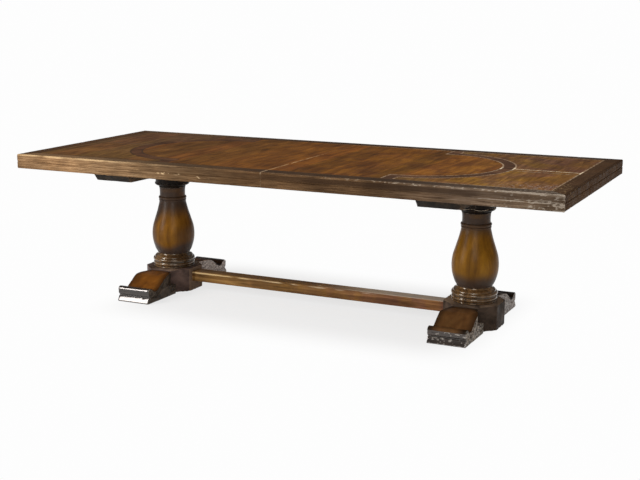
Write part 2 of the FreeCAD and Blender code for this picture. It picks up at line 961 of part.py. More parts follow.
def stringing(name, side):
    """Pale lines: round the border, both sides of the ring, and along the cross and axis bands."""
    layer = (core_top, s.table_height)
    label = f"{name}_string"
    lines = [box(f"{label}_end", mirrored(side, inlay_end, field_end), (-inlay_side, inlay_side), layer)]
    lines.append(inlay(f"{label}_ring_inner", ring_shape(ring_inner, band_inner, cross_low + string), side))
    start = beside(band_outer, cross_high - ring_centre)
    stop = beside(ring_outer, cross_high - ring_centre)
    bow_out = bow_between(ring_outer, (cross_high, stop), (ring_centre + ring_outer, dim(0)))
    bow_in = bow_between(band_outer, (cross_high, start), (ring_centre + band_outer, dim(0)))
    outer_ring = [
        (cross_high, -stop, bow_out),
        (ring_centre + ring_outer, 0, bow_out),
        (cross_high, stop),
        (cross_high, start, -bow_in),
        (ring_centre + band_outer, 0, -bow_in),
        (cross_high, -start),
    ]
    lines.append(inlay(f"{label}_ring_outer", outer_ring, side))
    shelf = beside(band_outer, cross_high - string - ring_centre)
    axis_near = ring_centre + beside(ring_outer, axis_half - string)
    axis_far = ring_centre + beside(ring_outer, axis_half)
    for end_name, end in ENDS.items():
        edge = mirrored(end, inlay_side, field_side)
        lines.append(box(f"{label}_{end_name}", mirrored(side, seam, field_end), edge, layer))
        left_edge = mirrored(end, ring_inner, inlay_side)
        left = mirrored(side, cross_low, cross_low + string)
        lines.append(box(f"{label}_{end_name}_cross_left", left, left_edge, layer))
        right = [
            (cross_high - string, end * shelf),
            (cross_high, end * start),
            (cross_high, end * inlay_side),
            (cross_high - string, end * inlay_side),
        ]
        lines.append(inlay(f"{label}_{end_name}_cross_right", right, side))
        axis = [
            (axis_near, end * (axis_half - string)),
            (inlay_end, end * (axis_half - string)),
            (inlay_end, end * axis_half),
            (axis_far, end * axis_half),
        ]
        lines.append(inlay(f"{label}_{end_name}_axis", axis, side))
    return group(f"{name}_stringing", lines)


# Assembly

nodes = [stretcher(), tie_rods(), tie_rod_nuts(), tie_rod_washers(), foot_dowels(), slide_rail_screws()]
for end_name, end in ENDS.items():
    nodes.append(slide_rail(end_name, end))
for name, side in SIDES.items():
    nodes += [make(name, side) for make in (base_block, collar, baluster, capital, bearer)]
    nodes += [foot(name, side, end_name, end) for end_name, end in ENDS.items()]
    nodes += [make(name, side) for make in (core, end_border, centre_field, ring_band, cross_bands)]
    nodes += [make(name, side) for make in (axis_band, stringing, runner_screw_set)]
    for make in (side_border, corner_field, runner):
        nodes += [make(name, side, end_name, end) for end_name, end in ENDS.items()]
nodes.append(alignment_pins())
doc.recompute()

faults = [item.Label for item in doc.Objects if {"Invalid", "Error"} & set(item.State)]
faults += [node.Label for node in nodes if node.Shape.isNull() or not node.Shape.isValid()]
faults += [item.Label for item in pockets if item.Shape.Volume >= item.BaseFeature.Shape.Volume]
if faults:
    raise RuntimeError(f"failed pieces: {faults}")

os.makedirs("parts", exist_ok=True)
for node in nodes:
    node.Shape.exportStep(f"parts/{node.Label}.step")
print(f"{len(nodes)} nodes written")
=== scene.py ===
import itertools
import json
import math

import bmesh
import bpy
import numpy as np
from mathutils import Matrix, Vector
from mathutils.geometry import delaunay_2d_cdt

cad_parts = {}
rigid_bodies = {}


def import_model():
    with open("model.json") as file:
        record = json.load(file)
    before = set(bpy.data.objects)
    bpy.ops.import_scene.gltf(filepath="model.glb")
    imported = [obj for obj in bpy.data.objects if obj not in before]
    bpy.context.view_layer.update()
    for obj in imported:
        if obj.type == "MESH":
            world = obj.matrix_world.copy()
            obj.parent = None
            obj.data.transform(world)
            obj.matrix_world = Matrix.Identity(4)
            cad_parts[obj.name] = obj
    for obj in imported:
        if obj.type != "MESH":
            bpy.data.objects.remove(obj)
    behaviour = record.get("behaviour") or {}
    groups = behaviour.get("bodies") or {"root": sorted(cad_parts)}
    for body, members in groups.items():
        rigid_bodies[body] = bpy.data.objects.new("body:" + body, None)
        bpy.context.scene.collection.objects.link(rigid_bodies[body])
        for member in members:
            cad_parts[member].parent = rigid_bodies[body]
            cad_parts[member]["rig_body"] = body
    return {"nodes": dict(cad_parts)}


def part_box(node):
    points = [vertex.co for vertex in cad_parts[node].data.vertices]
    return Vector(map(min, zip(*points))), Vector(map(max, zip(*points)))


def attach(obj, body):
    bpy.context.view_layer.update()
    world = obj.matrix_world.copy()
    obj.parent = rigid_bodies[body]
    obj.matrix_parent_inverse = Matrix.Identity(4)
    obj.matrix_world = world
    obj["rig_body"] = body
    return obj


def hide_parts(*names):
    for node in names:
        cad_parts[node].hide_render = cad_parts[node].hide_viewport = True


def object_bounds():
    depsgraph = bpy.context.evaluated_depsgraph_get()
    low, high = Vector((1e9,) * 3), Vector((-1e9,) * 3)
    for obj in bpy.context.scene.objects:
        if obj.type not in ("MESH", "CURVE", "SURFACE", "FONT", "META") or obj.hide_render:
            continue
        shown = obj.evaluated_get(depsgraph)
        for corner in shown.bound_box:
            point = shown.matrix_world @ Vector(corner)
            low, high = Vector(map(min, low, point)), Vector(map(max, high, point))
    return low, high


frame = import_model()
cad_low, cad_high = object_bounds()
scene = bpy.context.scene

SIDES = ("left", "right")
ENDS = ("front", "back")
X, Y, Z = range(3)

# Camera, in metres and radians, as in the photograph
CAMERA_PLACE = (2.513, -5.1469, 1.5597)
CAMERA_TILT = math.pi / 2 - 0.2108
CAMERA_TURN = 0.44985
CAMERA_LENS = 65.02

# Softboxes: place and target in metres, width, height and power
SOFTBOXES = {
    "key_softbox": ((-3.1, -3.3, 2.0), (-0.7, -0.4, 0.4), 0.8, 3.2, 125),
    "fill_softbox": ((1.9, -4.4, 2.0), (0.0, 0.0, 0.3), 2.0, 2.0, 60),
    "overhead_softbox": ((0.2, 0.4, 3.4), (0.0, 0.0, 0.0), 3.6, 2.2, 42),
}
# The dim studio: height of the direction, level of light
STUDIO_LEVELS = ((0.0, 0.06), (0.25, 0.08), (0.6, 0.34), (1.0, 0.6))
# Floor: half length and drop below the table in metres, its grey in light, the white that shows
FLOOR_REACH = 3000.0
FLOOR_DROP = 0.0005
FLOOR_GREY = 0.9
FLOOR_WHITE = 0.985
# How much of the shadow shows, and where it fades along and across the table, in metres
SHADOW_SHARE = 0.27
SHADOW_LENGTH = (1.08, 0.72)
SHADOW_WIDTH = (0.74, 0.34)

# Mesh spacing in metres, and counts of steps
FINE = 0.0014
MEDIUM = 0.0035
COARSE = 0.006
TURN_STEPS = 144
BALUSTER_STEPS = 14
FOOT_TOP_STEPS = 8
SCROLL_STEPS = 12
CORNER_STEPS = 6
# Eased ends of a piece, in metres, and the share of them where a section is added
ARRIS = 0.0022
EASE_SHARE = 0.3

# Wear: sizes in metres, and the noise or bend where it starts and is full
WAVE_SIZE = 0.16
SCUFF_SIZE = 0.045
SCUFF_RANGE = (0.15, 0.75)
WEAR_BEND = (0.03, 0.16)
CREASE_BEND = (0.03, 0.18)
GRAIN_STRETCH = 2.5
# How deep the least scuffed chips are, and how bare chips and dents are
CHIP_LEAST = 0.3
CHIP_BARE = 0.5
DENT_BARE = 0.25
# How deep waves, dents and chips are cut, in metres
WEAR_DEPTHS = {
    "baluster": (0.0006, 0.0005, 0.0008), "collar": (0.0008, 0.0012, 0.0026),
    "capital": (0.0008, 0.0005, 0.001), "block": (0.001, 0.0012, 0.003), "foot": (0.0006, 0.0006, 0.0018),
    "stretcher": (0.001, 0.0008, 0.0024), "bearer": (0.0006, 0.0006, 0.0012),
    "border": (0.0006, 0.001, 0.0026),
}
# Marks: size in metres, place among the seeds, the noise where they start and are full
DENTS = (0.014, 2, 0.5, 0.85)
CHIPS = (0.011, 3, 0.05, 0.6)
FOOT_SPOTS = ((0.01, 0.014, 0.007), 9, 0.1, 0.6)
BORDER_SPECKS = ((0.008, 0.008, 0.005), 7, 0.25, 0.65)
BORDER_DASHES = ((0.008, 0.05, 0.004), 8, 0.0, 0.35)
BORDER_SCRAPES = ((0.06, 0.005, 0.004), 6, 0.05, 0.45)

# Turned outlines from the bottom up: shares of radius and height, bulge as a share of the radius
COLLAR_SHARES = (
    (0.95, 0, 0.02), (0.95, 0.1, 0), (0.938, 0.108, 0), (0.938, 0.125, 0), (0.948, 0.13, 0.03),
    (0.948, 0.37, 0), (0.93, 0.38, 0), (0.93, 0.415, 0), (0.952, 0.42, 0.046), (0.938, 0.68, 0),
    (0.918, 0.69, 0.012), (0.84, 0.85, -0.018), (0.76, 1, 0),
)
BALUSTER_CURVE_SHARES = (
    (0.761, 0), (0.872, 0.068), (0.972, 0.181), (1, 0.295), (0.959, 0.408),
    (0.854, 0.522), (0.743, 0.635), (0.654, 0.743), (0.625, 0.793),
)
BALUSTER_NECK_SHARES = (
    (0.625, 0.793, 0), (0.64, 0.796, 0.006), (0.64, 0.812, 0), (0.622, 0.814, 0),
    (0.626, 0.818, 0.036), (0.626, 0.862, 0), (0.605, 0.866, -0.012), (0.618, 1, 0),
)
CAPITAL_SHARES = (
    (0.76, 0, 0.016), (0.76, 0.057, 0), (0.75, 0.063, -0.03), (0.87, 0.145, 0.026),
    (0.985, 0.221, 0), (1, 0.224, 0), (1, 0.284, 0.004), (0.985, 0.3, 0), (0.96, 0.31, 0),
    (0.96, 0.97, 0), (0.95, 1, 0),
)
# How far the edges of turned pieces are worn
TURNED_EDGES = {"baluster": 0.35, "collar": 0.4, "capital": 0.35}
# Painted shadow of the top on the balusters' upper part with darker stain, painted shade on the left
# pedestal's left side, darker towards the bottom: strength, axis, the shares of the size where it starts and
# is full
BALUSTER_SHADE_AND_STAIN_SHARES = {
    "left": ((0.82, Z, 0.4, 0.79), (-0.1, Z, 0.8, 0.86), (0.85, Z, 0.22, 0.02), (0.528, X, 0.5, 0.2)),
    "right": ((0.82, Z, 0.55, 0.9), (-0.1, Z, 0.8, 0.86), (0.85, Z, 0.3, 0.04)),
}
# Painted shade low on the right flanks, mottled necks, painted shade on the right of the collars
FLANK_SHADE = {"left": 0.48, "right": 0.0}
FLANK_SHARES = (0.66, 0.98)
FLANK_TOP_SHARES = (0.6, 0.35)
NECK_MOTTLE = 0.3
NECK_MOTTLE_SHARES = (0.3, 0.3, 0.06)
NECK_SHARES = (0.8, 0.88)
COLLAR_SHADE = {"left": 0.55, "right": 0.25}
COLLAR_SHADE_SHARES = (0.45, 0.7)
# Painted highlight on the capitals, a pale wavy line round the rim: how strong, shares of the height, waves
# round the axis
SCALLOP_HIGHLIGHT = {"left": 0.3, "right": 1.0}
SCALLOP_LEVEL_SHARE = 0.283
SCALLOP_RISE_SHARE = 0.034
SCALLOP_WIDTH_SHARES = (0.014, 0.0056)
SCALLOP_COUNT = 6
SCALLOP_TURN = math.radians(-87)

# Foot outline: shares of its reach and height, bulge as a share of the height
FOOT_TOE_SHARES = (
    (0.985, 0, 0.008), (0.997, 0.05, 0.01), (0.966, 0.262, 0.006), (0.961, 0.272, 0), (0.951, 0.274, 0),
    (0.95, 0.302, 0), (0.959, 0.308, 0.03), (0.977, 0.5, 0.075), (0.938, 0.692, 0.034), (0.862, 0.545, 0),
)
FOOT_TOP_SHARES = (
    (0.855, 0.524), (0.815, 0.505), (0.77, 0.545), (0.72, 0.655), (0.662, 0.79), (0.605, 0.905),
    (0.55, 0.975), (0.49, 1), (0.38, 1), (0.34, 1),
)
# Grooves in the foot's sides: the long scroll, the toe's curl, the root's curl
SCROLL_SHARES = (
    ((0.6, 0.8), (0.662, 0.6), (0.737, 0.39), (0.82, 0.235)),
    ((0.64, 0.87), (0.705, 0.665), (0.76, 0.5), (0.815, 0.355), (0.866, 0.275), (0.925, 0.275),
     (0.97, 0.4), (0.972, 0.53), (0.935, 0.605), (0.893, 0.545), (0.9, 0.43)),
    ((0.365, 0.43), (0.42, 0.45), (0.47, 0.34), (0.44, 0.2), (0.385, 0.23), (0.395, 0.32)),
)
SCROLL_DEPTH = 0.0042
SCROLL_HALF_WIDTH = 0.0062
SCROLL_POWER = 0.7
# Spacing of the outline in metres, and how near to it inner points lie, as a share of their spacing
FOOT_SPACING = 0.0022
RIM_SHARE = 0.6
# Cheeks, ledge below them and half the root's width, in metres; counts of points on top and heel
CHEEK_REACH = 0.225
CHEEK_LEVEL = 0.056
LEDGE_FALL = 0.005
ROOT_HALF = 0.063
TOP_COUNT = 40
HEEL_COUNTS = (16, 9, 14)
# Points of the toe, from its end, that are bare wood: the roll's back, on the right its top too
ROLL_BARE_COUNT = {"left": 14, "right": 29}
# The front feet's flanks: the glaze with painted shade on the left, the glaze lightened by a painted sheen on
# the right
FRONT_FLANKS = {"left": "scroll_painted_shade", "right": "scroll"}
# Darker on the feet's tops towards the edges, and painted shade by the block, in the roll's valley and, on
# the back feet, their shadow: strength, where it starts and is full, in metres or shares of half the width
EDGE_DARKENING_SHARES = (0.62, 0.35, 1.0)
ROOT_SHADE = (0.55, 0.06, 0.0)
ROLL_SHADES = {"left": (0.35, 0.325, 0.345), "right": (0.22, 0.325, 0.345)}
BACK_SHADE = (0.8, 0.26, 0.29)
# Where wear starts and is full, in metres from the root, and how strong it is
FOOT_WORN = (0.004, 0.03)
FOOT_EDGES = 0.6
FOOT_CREASES = {"front": 1, "back": 0.8}
FOOT_PALE = 0.6
FRONT_PALE = {"left": 0.1, "right": 1.25}

# Block: chamfer, how pale its right flank is painted as a reflection, and where, in metres
BLOCK_CHAMFER_SHARE = 0.267
BLOCK_FLANK_REFLECTION = {"left": 0.62, "right": 0.0}
BLOCK_FLANK = (0.002, 0.001)

# Stretcher, in metres: round of its edges, reach of its top, front and worn line with its painted highlight
STRETCHER_ROUND = 0.004
STRETCHER_TOP = (0.0025, 0.001)
STRETCHER_FRONT = (0.012, 0.005)
STRETCHER_LINE_TOP = (0.002, 0.005)
STRETCHER_LINE_FOOT = (0.013, 0.009)
# How bare its line (worn, with a painted highlight) and top (a painted reflection, paler to the right) are,
# and how dark its top is: place along the table in metres, strength
STRETCHER_LINE_WEAR_AND_HIGHLIGHT = ((-0.72, 1), (-0.35, 0.85), (0.0, 0.66), (0.4, 0.3), (0.72, 0.24))
STRETCHER_TOP_REFLECTION = ((-0.3, 0.0), (0.1, 0.35), (0.4, 0.85), (0.72, 1.0))
STRETCHER_TOP_DARKENING = ((-0.72, 0.24), (-0.2, 0.06), (0.0, 0.0))
# Patches of the worn and highlighted line: size in metres, mean strength and how far it varies
STRETCHER_PATCH = 0.05
STRETCHER_VARIES = (0.7, 0.6)
STRETCHER_EDGES = 0.3

# Bearer, in metres: half its deep middle, tip, bevel and hollow
BEARER_ROOT = 0.11
BEARER_TIP = 0.065
BEARER_TIP_DEPTH = 0.036
BEARER_BEVEL = 0.03
BEARER_HOLLOW = 0.003

# Border section, in metres from the outer face inwards and from the underside up
REED_GROOVE_HALF = 0.0024
REED_GROOVE_DEPTH = 0.0028
UPPER_ROUND = 0.008
LOWER_ROUND = 0.006
LIP_ROUND = 0.0016
BORDER_TONGUE = 0.022
BORDER_WIDTH = 0.074
BORDER_LEDGE = 0.015
SEAM_STATIONS = np.array([0, 0.0012, 0.0024, 0.0038])
# Zones of the border: distances in metres where each starts and is full
ARRIS_REACH = (1.5 * UPPER_ROUND, 0.75 * UPPER_ROUND)
TOP_DEPTH = (0.003, 0.001)
TOP_REACH = (0.6 * UPPER_ROUND, 1.3 * UPPER_ROUND)
FACE_REACH = (0.6 * UPPER_ROUND, 0.3 * UPPER_ROUND)
LIP_REACH = (0.004, 0.001)
SEAT_REACH = (0.002, 0.012)
SEAM_WORN = (0.004, 0.0012)
SEAM_CLEAN = (0.006, 0.004)
# How knocked about the border is: least, at the right front corner, on the right, with reach
HURT_LEAST = 0.5
HURT_CORNER = 1.3
HURT_CORNER_REACH = (0.45, 0.0)
HURT_RIGHT = 0.35
HURT_RIGHT_REACH = (-0.2, 0.8)
# Patches of pale dashes on the front edge: middle along the table, height, half length
CHIP_PATCHES = ((-0.5, 0.719, 0.09), (-0.31, 0.712, 0.05))
CHIP_PATCH_SHARES = (1, 0.5)
CHIP_PATCH_HEIGHT = (0.008, 0.0032)
# How bare the front edge's arris (worn, with a painted highlight strongest at the left end), lip and rows of
# scrapes are along the table, in metres
ARRIS_WEAR_AND_HIGHLIGHT = (
    (-1.4, 0.8), (-1.0, 0.68), (-0.7, 0.56), (-0.4, 0.28), (0.5, 0.26), (0.8, 0.36), (1.4, 0.62),
)
LIP_WEAR = ((0.75, 0.0), (1.0, 0.42), (1.4, 0.6))
SCRAPE_WEAR = ((0.9, 0.0), (1.15, 0.28), (1.4, 0.62))
# How dark its upper reed (painted shade) and its top are along the table, in metres
UPPER_REED_SHADE = ((-0.8, 0.0), (0.0, 0.46), (0.5, 0.56), (0.9, 0.6), (1.4, 0.36))
BORDER_TOP_DARKENING = (
    (-1.4, 0.42), (-0.7, 0.44), (-0.3, 0.52), (0.0, 0.62), (0.5, 0.6), (0.9, 0.58), (1.4, 0.5),
)
# Marks on the borders: patch size in metres, then strengths, everywhere and added on the top
PATCHY_SIZE = 0.05
PATCHY_VARIES = (0.8, 0.25)
DASH_WEAR = 0.8
FRONT_SPECK_WEAR = (0.45, 0.6)
SPECK_WEAR = (0.7, 0.5)
SEAM_WEAR = (0.3, 0.5)
END_ARRIS_WEAR = 0.1
# The end borders: darker top and arris, and painted shade on the end face
END_DARKENING = 0.62
END_FACE_SHADE = 0.5
BORDER_EDGES = 0.12
HURT_EDGES = 0.25
BORDER_CREASES = {"border_x": 0.35, "border_y": 0.12}

# Patches in the materials: size, detail, roughness, the noise where they start and are full
STAIN_CLOUDS = (0.2, 3, 0.6, 0.3, 0.7)
SCRAPED_PATCHES = ((0.09, 0.09, 0.06), 3, 0.6, 0.48, 0.68)
GLOSS_PATCHES = (0.05, 4, 0.6, 0.3, 0.7)
STRING_BREAKS = (0.02, 4, 0.65, 0.38, 0.56)
SEAM_BREAKS = ((0.01, 0.05, 0.01), 3, 0.6, 0.36, 0.56)
CORNER_SPECKS = (0.012, 3, 0.6, 0.52, 0.62)
TARNISH_PATCHES = (0.012, 4, 0.6, 0.42, 0.66)
HUE_PATCHES = (3, 0.55, 0.4, 0.6)
# Grain: sizes across and along in metres, detail, roughness, distortion; the noise where it shows
FIGURE = (4, 0.55, 0.7)
FIBRES = (0.0026, 0.09, 4, 0.65, 0.2)
PORES = (0.0011, 0.014, 2, 0.5, 0)
SCRATCHES = (0.0018, 0.05, 3, 0.6, 1.2)
TONE_STOPS = (0.34, 0.5, 0.66)
PORE_RANGE = (0.4, 0.3)
SCRATCH_RANGE = (0.66, 0.74)
WEAR_AND_HIGHLIGHT_RANGE = (0.25, 0.8)
GRIME_AND_SHADE_RANGE = (0.1, 0.9)
# How far pores, bare wood (with painted highlights) and grime (with painted shade) cover, how grain frays
# them, how dull bare wood is
PORE_COVER = 0.45
WEAR_AND_HIGHLIGHT_COVER = 0.8
GRIME_AND_SHADE_COVER = 0.92
WEAR_AND_HIGHLIGHT_FRAY = 0.9
GRIME_AND_SHADE_FRAY = 0.5
WEAR_AND_HIGHLIGHT_DULL = 0.12
# Relief: fibres and scratches beside the pores, depth in metres
FIBRE_RISE = 0.5
SCRATCH_RISE = -0.3
WOOD_RELIEF = 0.0006

# How far apart in the log the leaves lie, in metres, and how their places vary
LEAF_SHIFT = 7.0
LEAF_RANDOM = 0.8
# How leaves differ: darkest and palest, reddest and most olive, as multiplying colours
LEAF_SHADES = (0.86, 1.14)
LEAF_HUES = ((1.08, 0.95, 0.92, 1), (0.94, 1.05, 0.98, 1))
# Where hue patches grow along the table, in metres, from their least strength
HUE_REACH = (-0.5, 0.5)
HUE_LEAST = 0.25
# Worn line at the seam, in metres: width, where it grows from its least strength, cover
SEAM_LINE = (0.0062, 0.003)
SEAM_LINE_FRONT = (0.16, -0.1)
SEAM_LINE_LEAST = 0.15
SEAM_LINE_COVER = 0.85
# Corners: tint from front to back; pale specks along and across the table, in metres
CORNER_DEPTH = (-0.4, 0.4)
CORNER_DEPTH_TINTS = ((0.0, (1.12, 1.15, 0.88, 1)), (1.0, (0.86, 0.9, 1.02, 1)))
SPECKS_ALONG = (0.95, 1.25)
SPECKS_ACROSS = (-0.28, -0.45)
SPECK_COVER = 0.7
# Stringing, in metres: front line, where it is hidden, where its painted sheen fades, where it is dulled, the
# axis lines
STRING_FRONT = (-0.478, -0.49)
STRING_FRONT_HIDDEN = (0.95, 0.6)
STRING_SHEEN_FADE = (-0.25, 0.35)
STRING_DULLED = (-0.6, 0.2)
AXIS_REACH = (0.09, 0.05)
AXIS_SIDE = (-0.01, 0.01)
# Its least strength where faded, what never breaks, what breaks, the front axis line's share
STRING_FADED = 0.05
STRING_WHOLE = (0.12, 0.5)
STRING_BROKEN = 0.62
AXIS_FRONT_SHARE = 0.45
STRING_FIBRE = 0.003
STRING_ROUGH = (0.3, 0.7, 0.45, 0.65)

# Colours as sRGB, 0 to 255
STRING_SHADE = (160, 132, 102)
STRING_CREAM = (190, 162, 134)
AXIS_CREAM = (236, 214, 180)
STRING_DULL_TONES = ((60, 39, 24), (84, 56, 33))
SPECK_GREY = (176, 152, 138)
SEAM_TONE = (178, 142, 100)
BLACK_GLAZE = (20, 14, 11)


def tone(red, green, blue):
    """A colour given as sRGB from 0 to 255, as the linear colour of a node socket."""
    linear = [c / 255 / 12.92 if c < 11 else ((c / 255 + 0.055) / 1.055) ** 2.4 for c in (red, green, blue)]
    return (*linear, 1)


def link(item):
    scene.collection.objects.link(item)
    return item


# Numbers for shapes and wear

def lattice(cells, seed):
    """A repeatable number from 0 to 1 for each cell of a lattice."""
    mixed = cells @ np.array([374761393, 668265263, 1274126177]) + seed * 974711
    mixed = (mixed ^ (mixed >> 13)) * 1274126177 & 0xFFFFFFFF
    mixed = (mixed ^ (mixed >> 15)) * 668265263 & 0xFFFFFFFF
    return ((mixed ^ (mixed >> 16)) & 0xFFFF) / 0xFFFF


def noise(points, size, seed):
    """Smooth noise from -1 to 1, with features of that size, or of those along X, Y and Z."""
    scaled = points / np.asarray(size)
    cells = np.floor(scaled).astype(np.int64)
    part = scaled - cells
    part = part * part * (3 - 2 * part)
    total = np.zeros(len(scaled))
    for corner in itertools.product((0, 1), repeat=3):
        weight = np.where(np.array(corner) == 1, part, 1 - part).prod(axis=1)
        total += weight * lattice(cells + np.array(corner), seed)
    return 2 * total - 1


def step(values, low, high):
    """A smooth step from 0 at low to 1 at high."""
    part = np.clip((values - low) / (high - low), 0, 1)
    return part * part * (3 - 2 * part)


def marks(places, seed, kind):
    """How strong a kind of mark is at each place."""
    size, among, low, high = kind
    return step(noise(places, size, seed + among), low, high)


def along(places, stops):
    """A value for each place, from stops (place along the table, value)."""
    return np.interp(places[:, X], *zip(*stops))


def spaced(low, high, spacing):
    return np.linspace(low, high, max(2, int(math.ceil(abs(high - low) / spacing)) + 1))


def eased(low, high, spacing):
    """Places from low to high, each with how far a section shrinks there: both ends are eased."""
    part = EASE_SHARE * ARRIS
    straight = [(place, 0) for place in spaced(low + ARRIS, high - ARRIS, spacing)]
    return [(low, ARRIS), (low + part, part), *straight, (high - part, part), (high, ARRIS)]


def bowed(points, spacing, closed=False):
    """A line through points (a, b, bulge): each run bulges to its right by that much, on a circular arc."""
    points = np.asarray(points, float)
    ends = np.roll(points, -1, axis=0)
    runs = list(zip(points, ends))
    if not closed:
        runs = runs[:-1]
    line = []
    for (a, b, bulge), (c, d, _) in runs:
        chord = math.hypot(c - a, d - b)
        half = 2 * math.atan(2 * bulge / chord)
        straight = abs(half) < 1e-6
        length = chord if straight else chord * half / math.sin(half)
        shares = np.linspace(0, 1, max(1, int(round(length / spacing))) + 1)[:-1]
        onward, out = np.array([c - a, d - b]) / chord, np.array([d - b, a - c]) / chord
        if straight:
            run, rise = shares * chord, shares * 0
        else:
            radius = chord / 2 / math.sin(half)
            angles = (2 * shares - 1) * half
            run = chord / 2 + radius * np.sin(angles)
            rise = radius * (np.cos(angles) - math.cos(half))
        line.append(np.array([a, b]) + run[:, None] * onward + rise[:, None] * out)
    if not closed:
        line.append(points[-1:, :2])
    return np.concatenate(line)


def smooth(points, steps):
    """A smooth curve through points, with that many steps between each two."""
    points = np.asarray(points, float)
    padded = np.concatenate([2 * points[:1] - points[1:2], points, 2 * points[-1:] - points[-2:-1]])
    t = np.linspace(0, 1, steps, endpoint=False)[:, None]
    line = []
    for a, b, c, d in zip(padded, padded[1:], padded[2:], padded[3:]):
        line.append(b + 0.5 * t * (c - a + t * (2 * a - 5 * b + 4 * c - d + t * (3 * (b - c) + d - a))))
    return np.concatenate([*line, points[-1:]])


def rounded(corners, spacing):
    """A closed loop through corners (a, b, round), each rounded over that length of its two sides."""
    corners = np.asarray(corners, float)
    places, rounds = corners[:, :2], corners[:, 2]
    loop = []
    for k, (place, size) in enumerate(zip(places, rounds)):
        before, after = places[k - 1], places[(k + 1) % len(places)]
        towards = (before - place) / np.linalg.norm(before - place)
        onwards = (after - place) / np.linalg.norm(after - place)
        start, stop = place + towards * size, place + onwards * size
        t = np.linspace(0, 1, CORNER_STEPS)[:, None] if size else np.zeros((1, 1))
        loop.append((1 - t) ** 2 * start + 2 * t * (1 - t) * place + t * t * stop)
        next_start = after - onwards * rounds[(k + 1) % len(places)]
        count = int(np.linalg.norm(next_start - stop) / spacing)
        shares = (np.arange(1, count) / count)[:, None] if count > 1 else np.zeros((0, 1))
        loop.append(stop + shares * (next_start - stop))
    return np.concatenate(loop)


def inset(loop, depth):
    """A counter-clockwise loop moved inwards by a small depth, with its corners kept."""
    ahead = np.roll(loop, -1, axis=0) - loop
    ahead /= np.linalg.norm(ahead, axis=1, keepdims=True)
    after = np.stack([-ahead[:, 1], ahead[:, 0]], axis=1)
    before = np.roll(after, 1, axis=0)
    square = np.maximum(1 + (before * after).sum(axis=1, keepdims=True), 0.5)
    return loop + depth * (before + after) / square


def nearest(points, line):
    """Distance from each point to a line of close points."""
    return np.sqrt(((points[:, None, :] - line[None, :, :]) ** 2).sum(axis=2)).min(axis=1)


# Meshes

def vectors(items, key):
    values = np.empty(len(items) * 3, np.float32)
    items.foreach_get(key, values)
    return values.reshape(-1, 3).astype(float)


def skin(rings):
    """Points and faces of a tube through closed rings of equal count, with a cap at each end."""
    count, size = rings.shape[:2]
    index = np.arange(count * size).reshape(count, size)
    here, there = index[:-1], index[1:]
    quads = np.stack([here, np.roll(here, -1, 1), np.roll(there, -1, 1), there], axis=-1)
    caps = [index[0][::-1].tolist(), index[-1].tolist()]
    return rings.reshape(-1, 3), quads.reshape(-1, 4).tolist() + caps


def piece_of(name, points, faces, node, slot, materials, sharp=40, zones=None):
    """A closed mesh that stands for a CAD node; zones gives each face the number of its material."""
    mesh = bpy.data.meshes.new(name)
    mesh.from_pydata(points.tolist(), [], faces)
    builder = bmesh.new()
    builder.from_mesh(mesh)
    bmesh.ops.recalc_face_normals(builder, faces=builder.faces)
    builder.to_mesh(mesh)
    builder.free()
    mesh.shade_smooth()
    mesh.set_sharp_from_angle(angle=math.radians(sharp))
    for material in materials:
        mesh.materials.append(material_of[material])
    if zones is not None:
        mesh.polygons.foreach_set("material_index", np.asarray(zones, np.int32))
    piece = link(bpy.data.objects.new(name, mesh))
    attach(piece, frame["nodes"][node]["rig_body"])
    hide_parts(node)
    return piece


def edge_ends(mesh):
    ends = np.empty(len(mesh.edges) * 2, np.int32)
    mesh.edges.foreach_get("vertices", ends)
    return ends.reshape(-1, 2).T


def spread(mesh, values, times):
    """Values shared out among neighbouring points, so that a mark is wider than one point."""
    a, b = edge_ends(mesh)
    for _ in range(times):
        total, count = values.copy(), np.ones(len(values))
        np.add.at(total, a, values[b])
        np.add.at(total, b, values[a])
        np.add.at(count, a, 1)
        np.add.at(count, b, 1)
        values = total / count
    return values


def bend(mesh, places, normals):
    """How the surface bends at each point: above 0 on an outer edge, below 0 in a crease."""
    a, b = edge_ends(mesh)
    edge = places[b] - places[a]
    edge /= np.linalg.norm(edge, axis=1, keepdims=True)
    total, count = np.zeros(len(places)), np.zeros(len(places))
    np.add.at(total, a, -(edge * normals[a]).sum(axis=1))
    np.add.at(total, b, (edge * normals[b]).sum(axis=1))
    np.add.at(count, a, 1)
    np.add.at(count, b, 1)
    return total / np.maximum(count, 1)


def paint(mesh, name, values):
    layer = mesh.attributes.new(name, "FLOAT", "POINT")
    layer.data.foreach_set("value", np.clip(values, 0, 1).astype(np.float32))


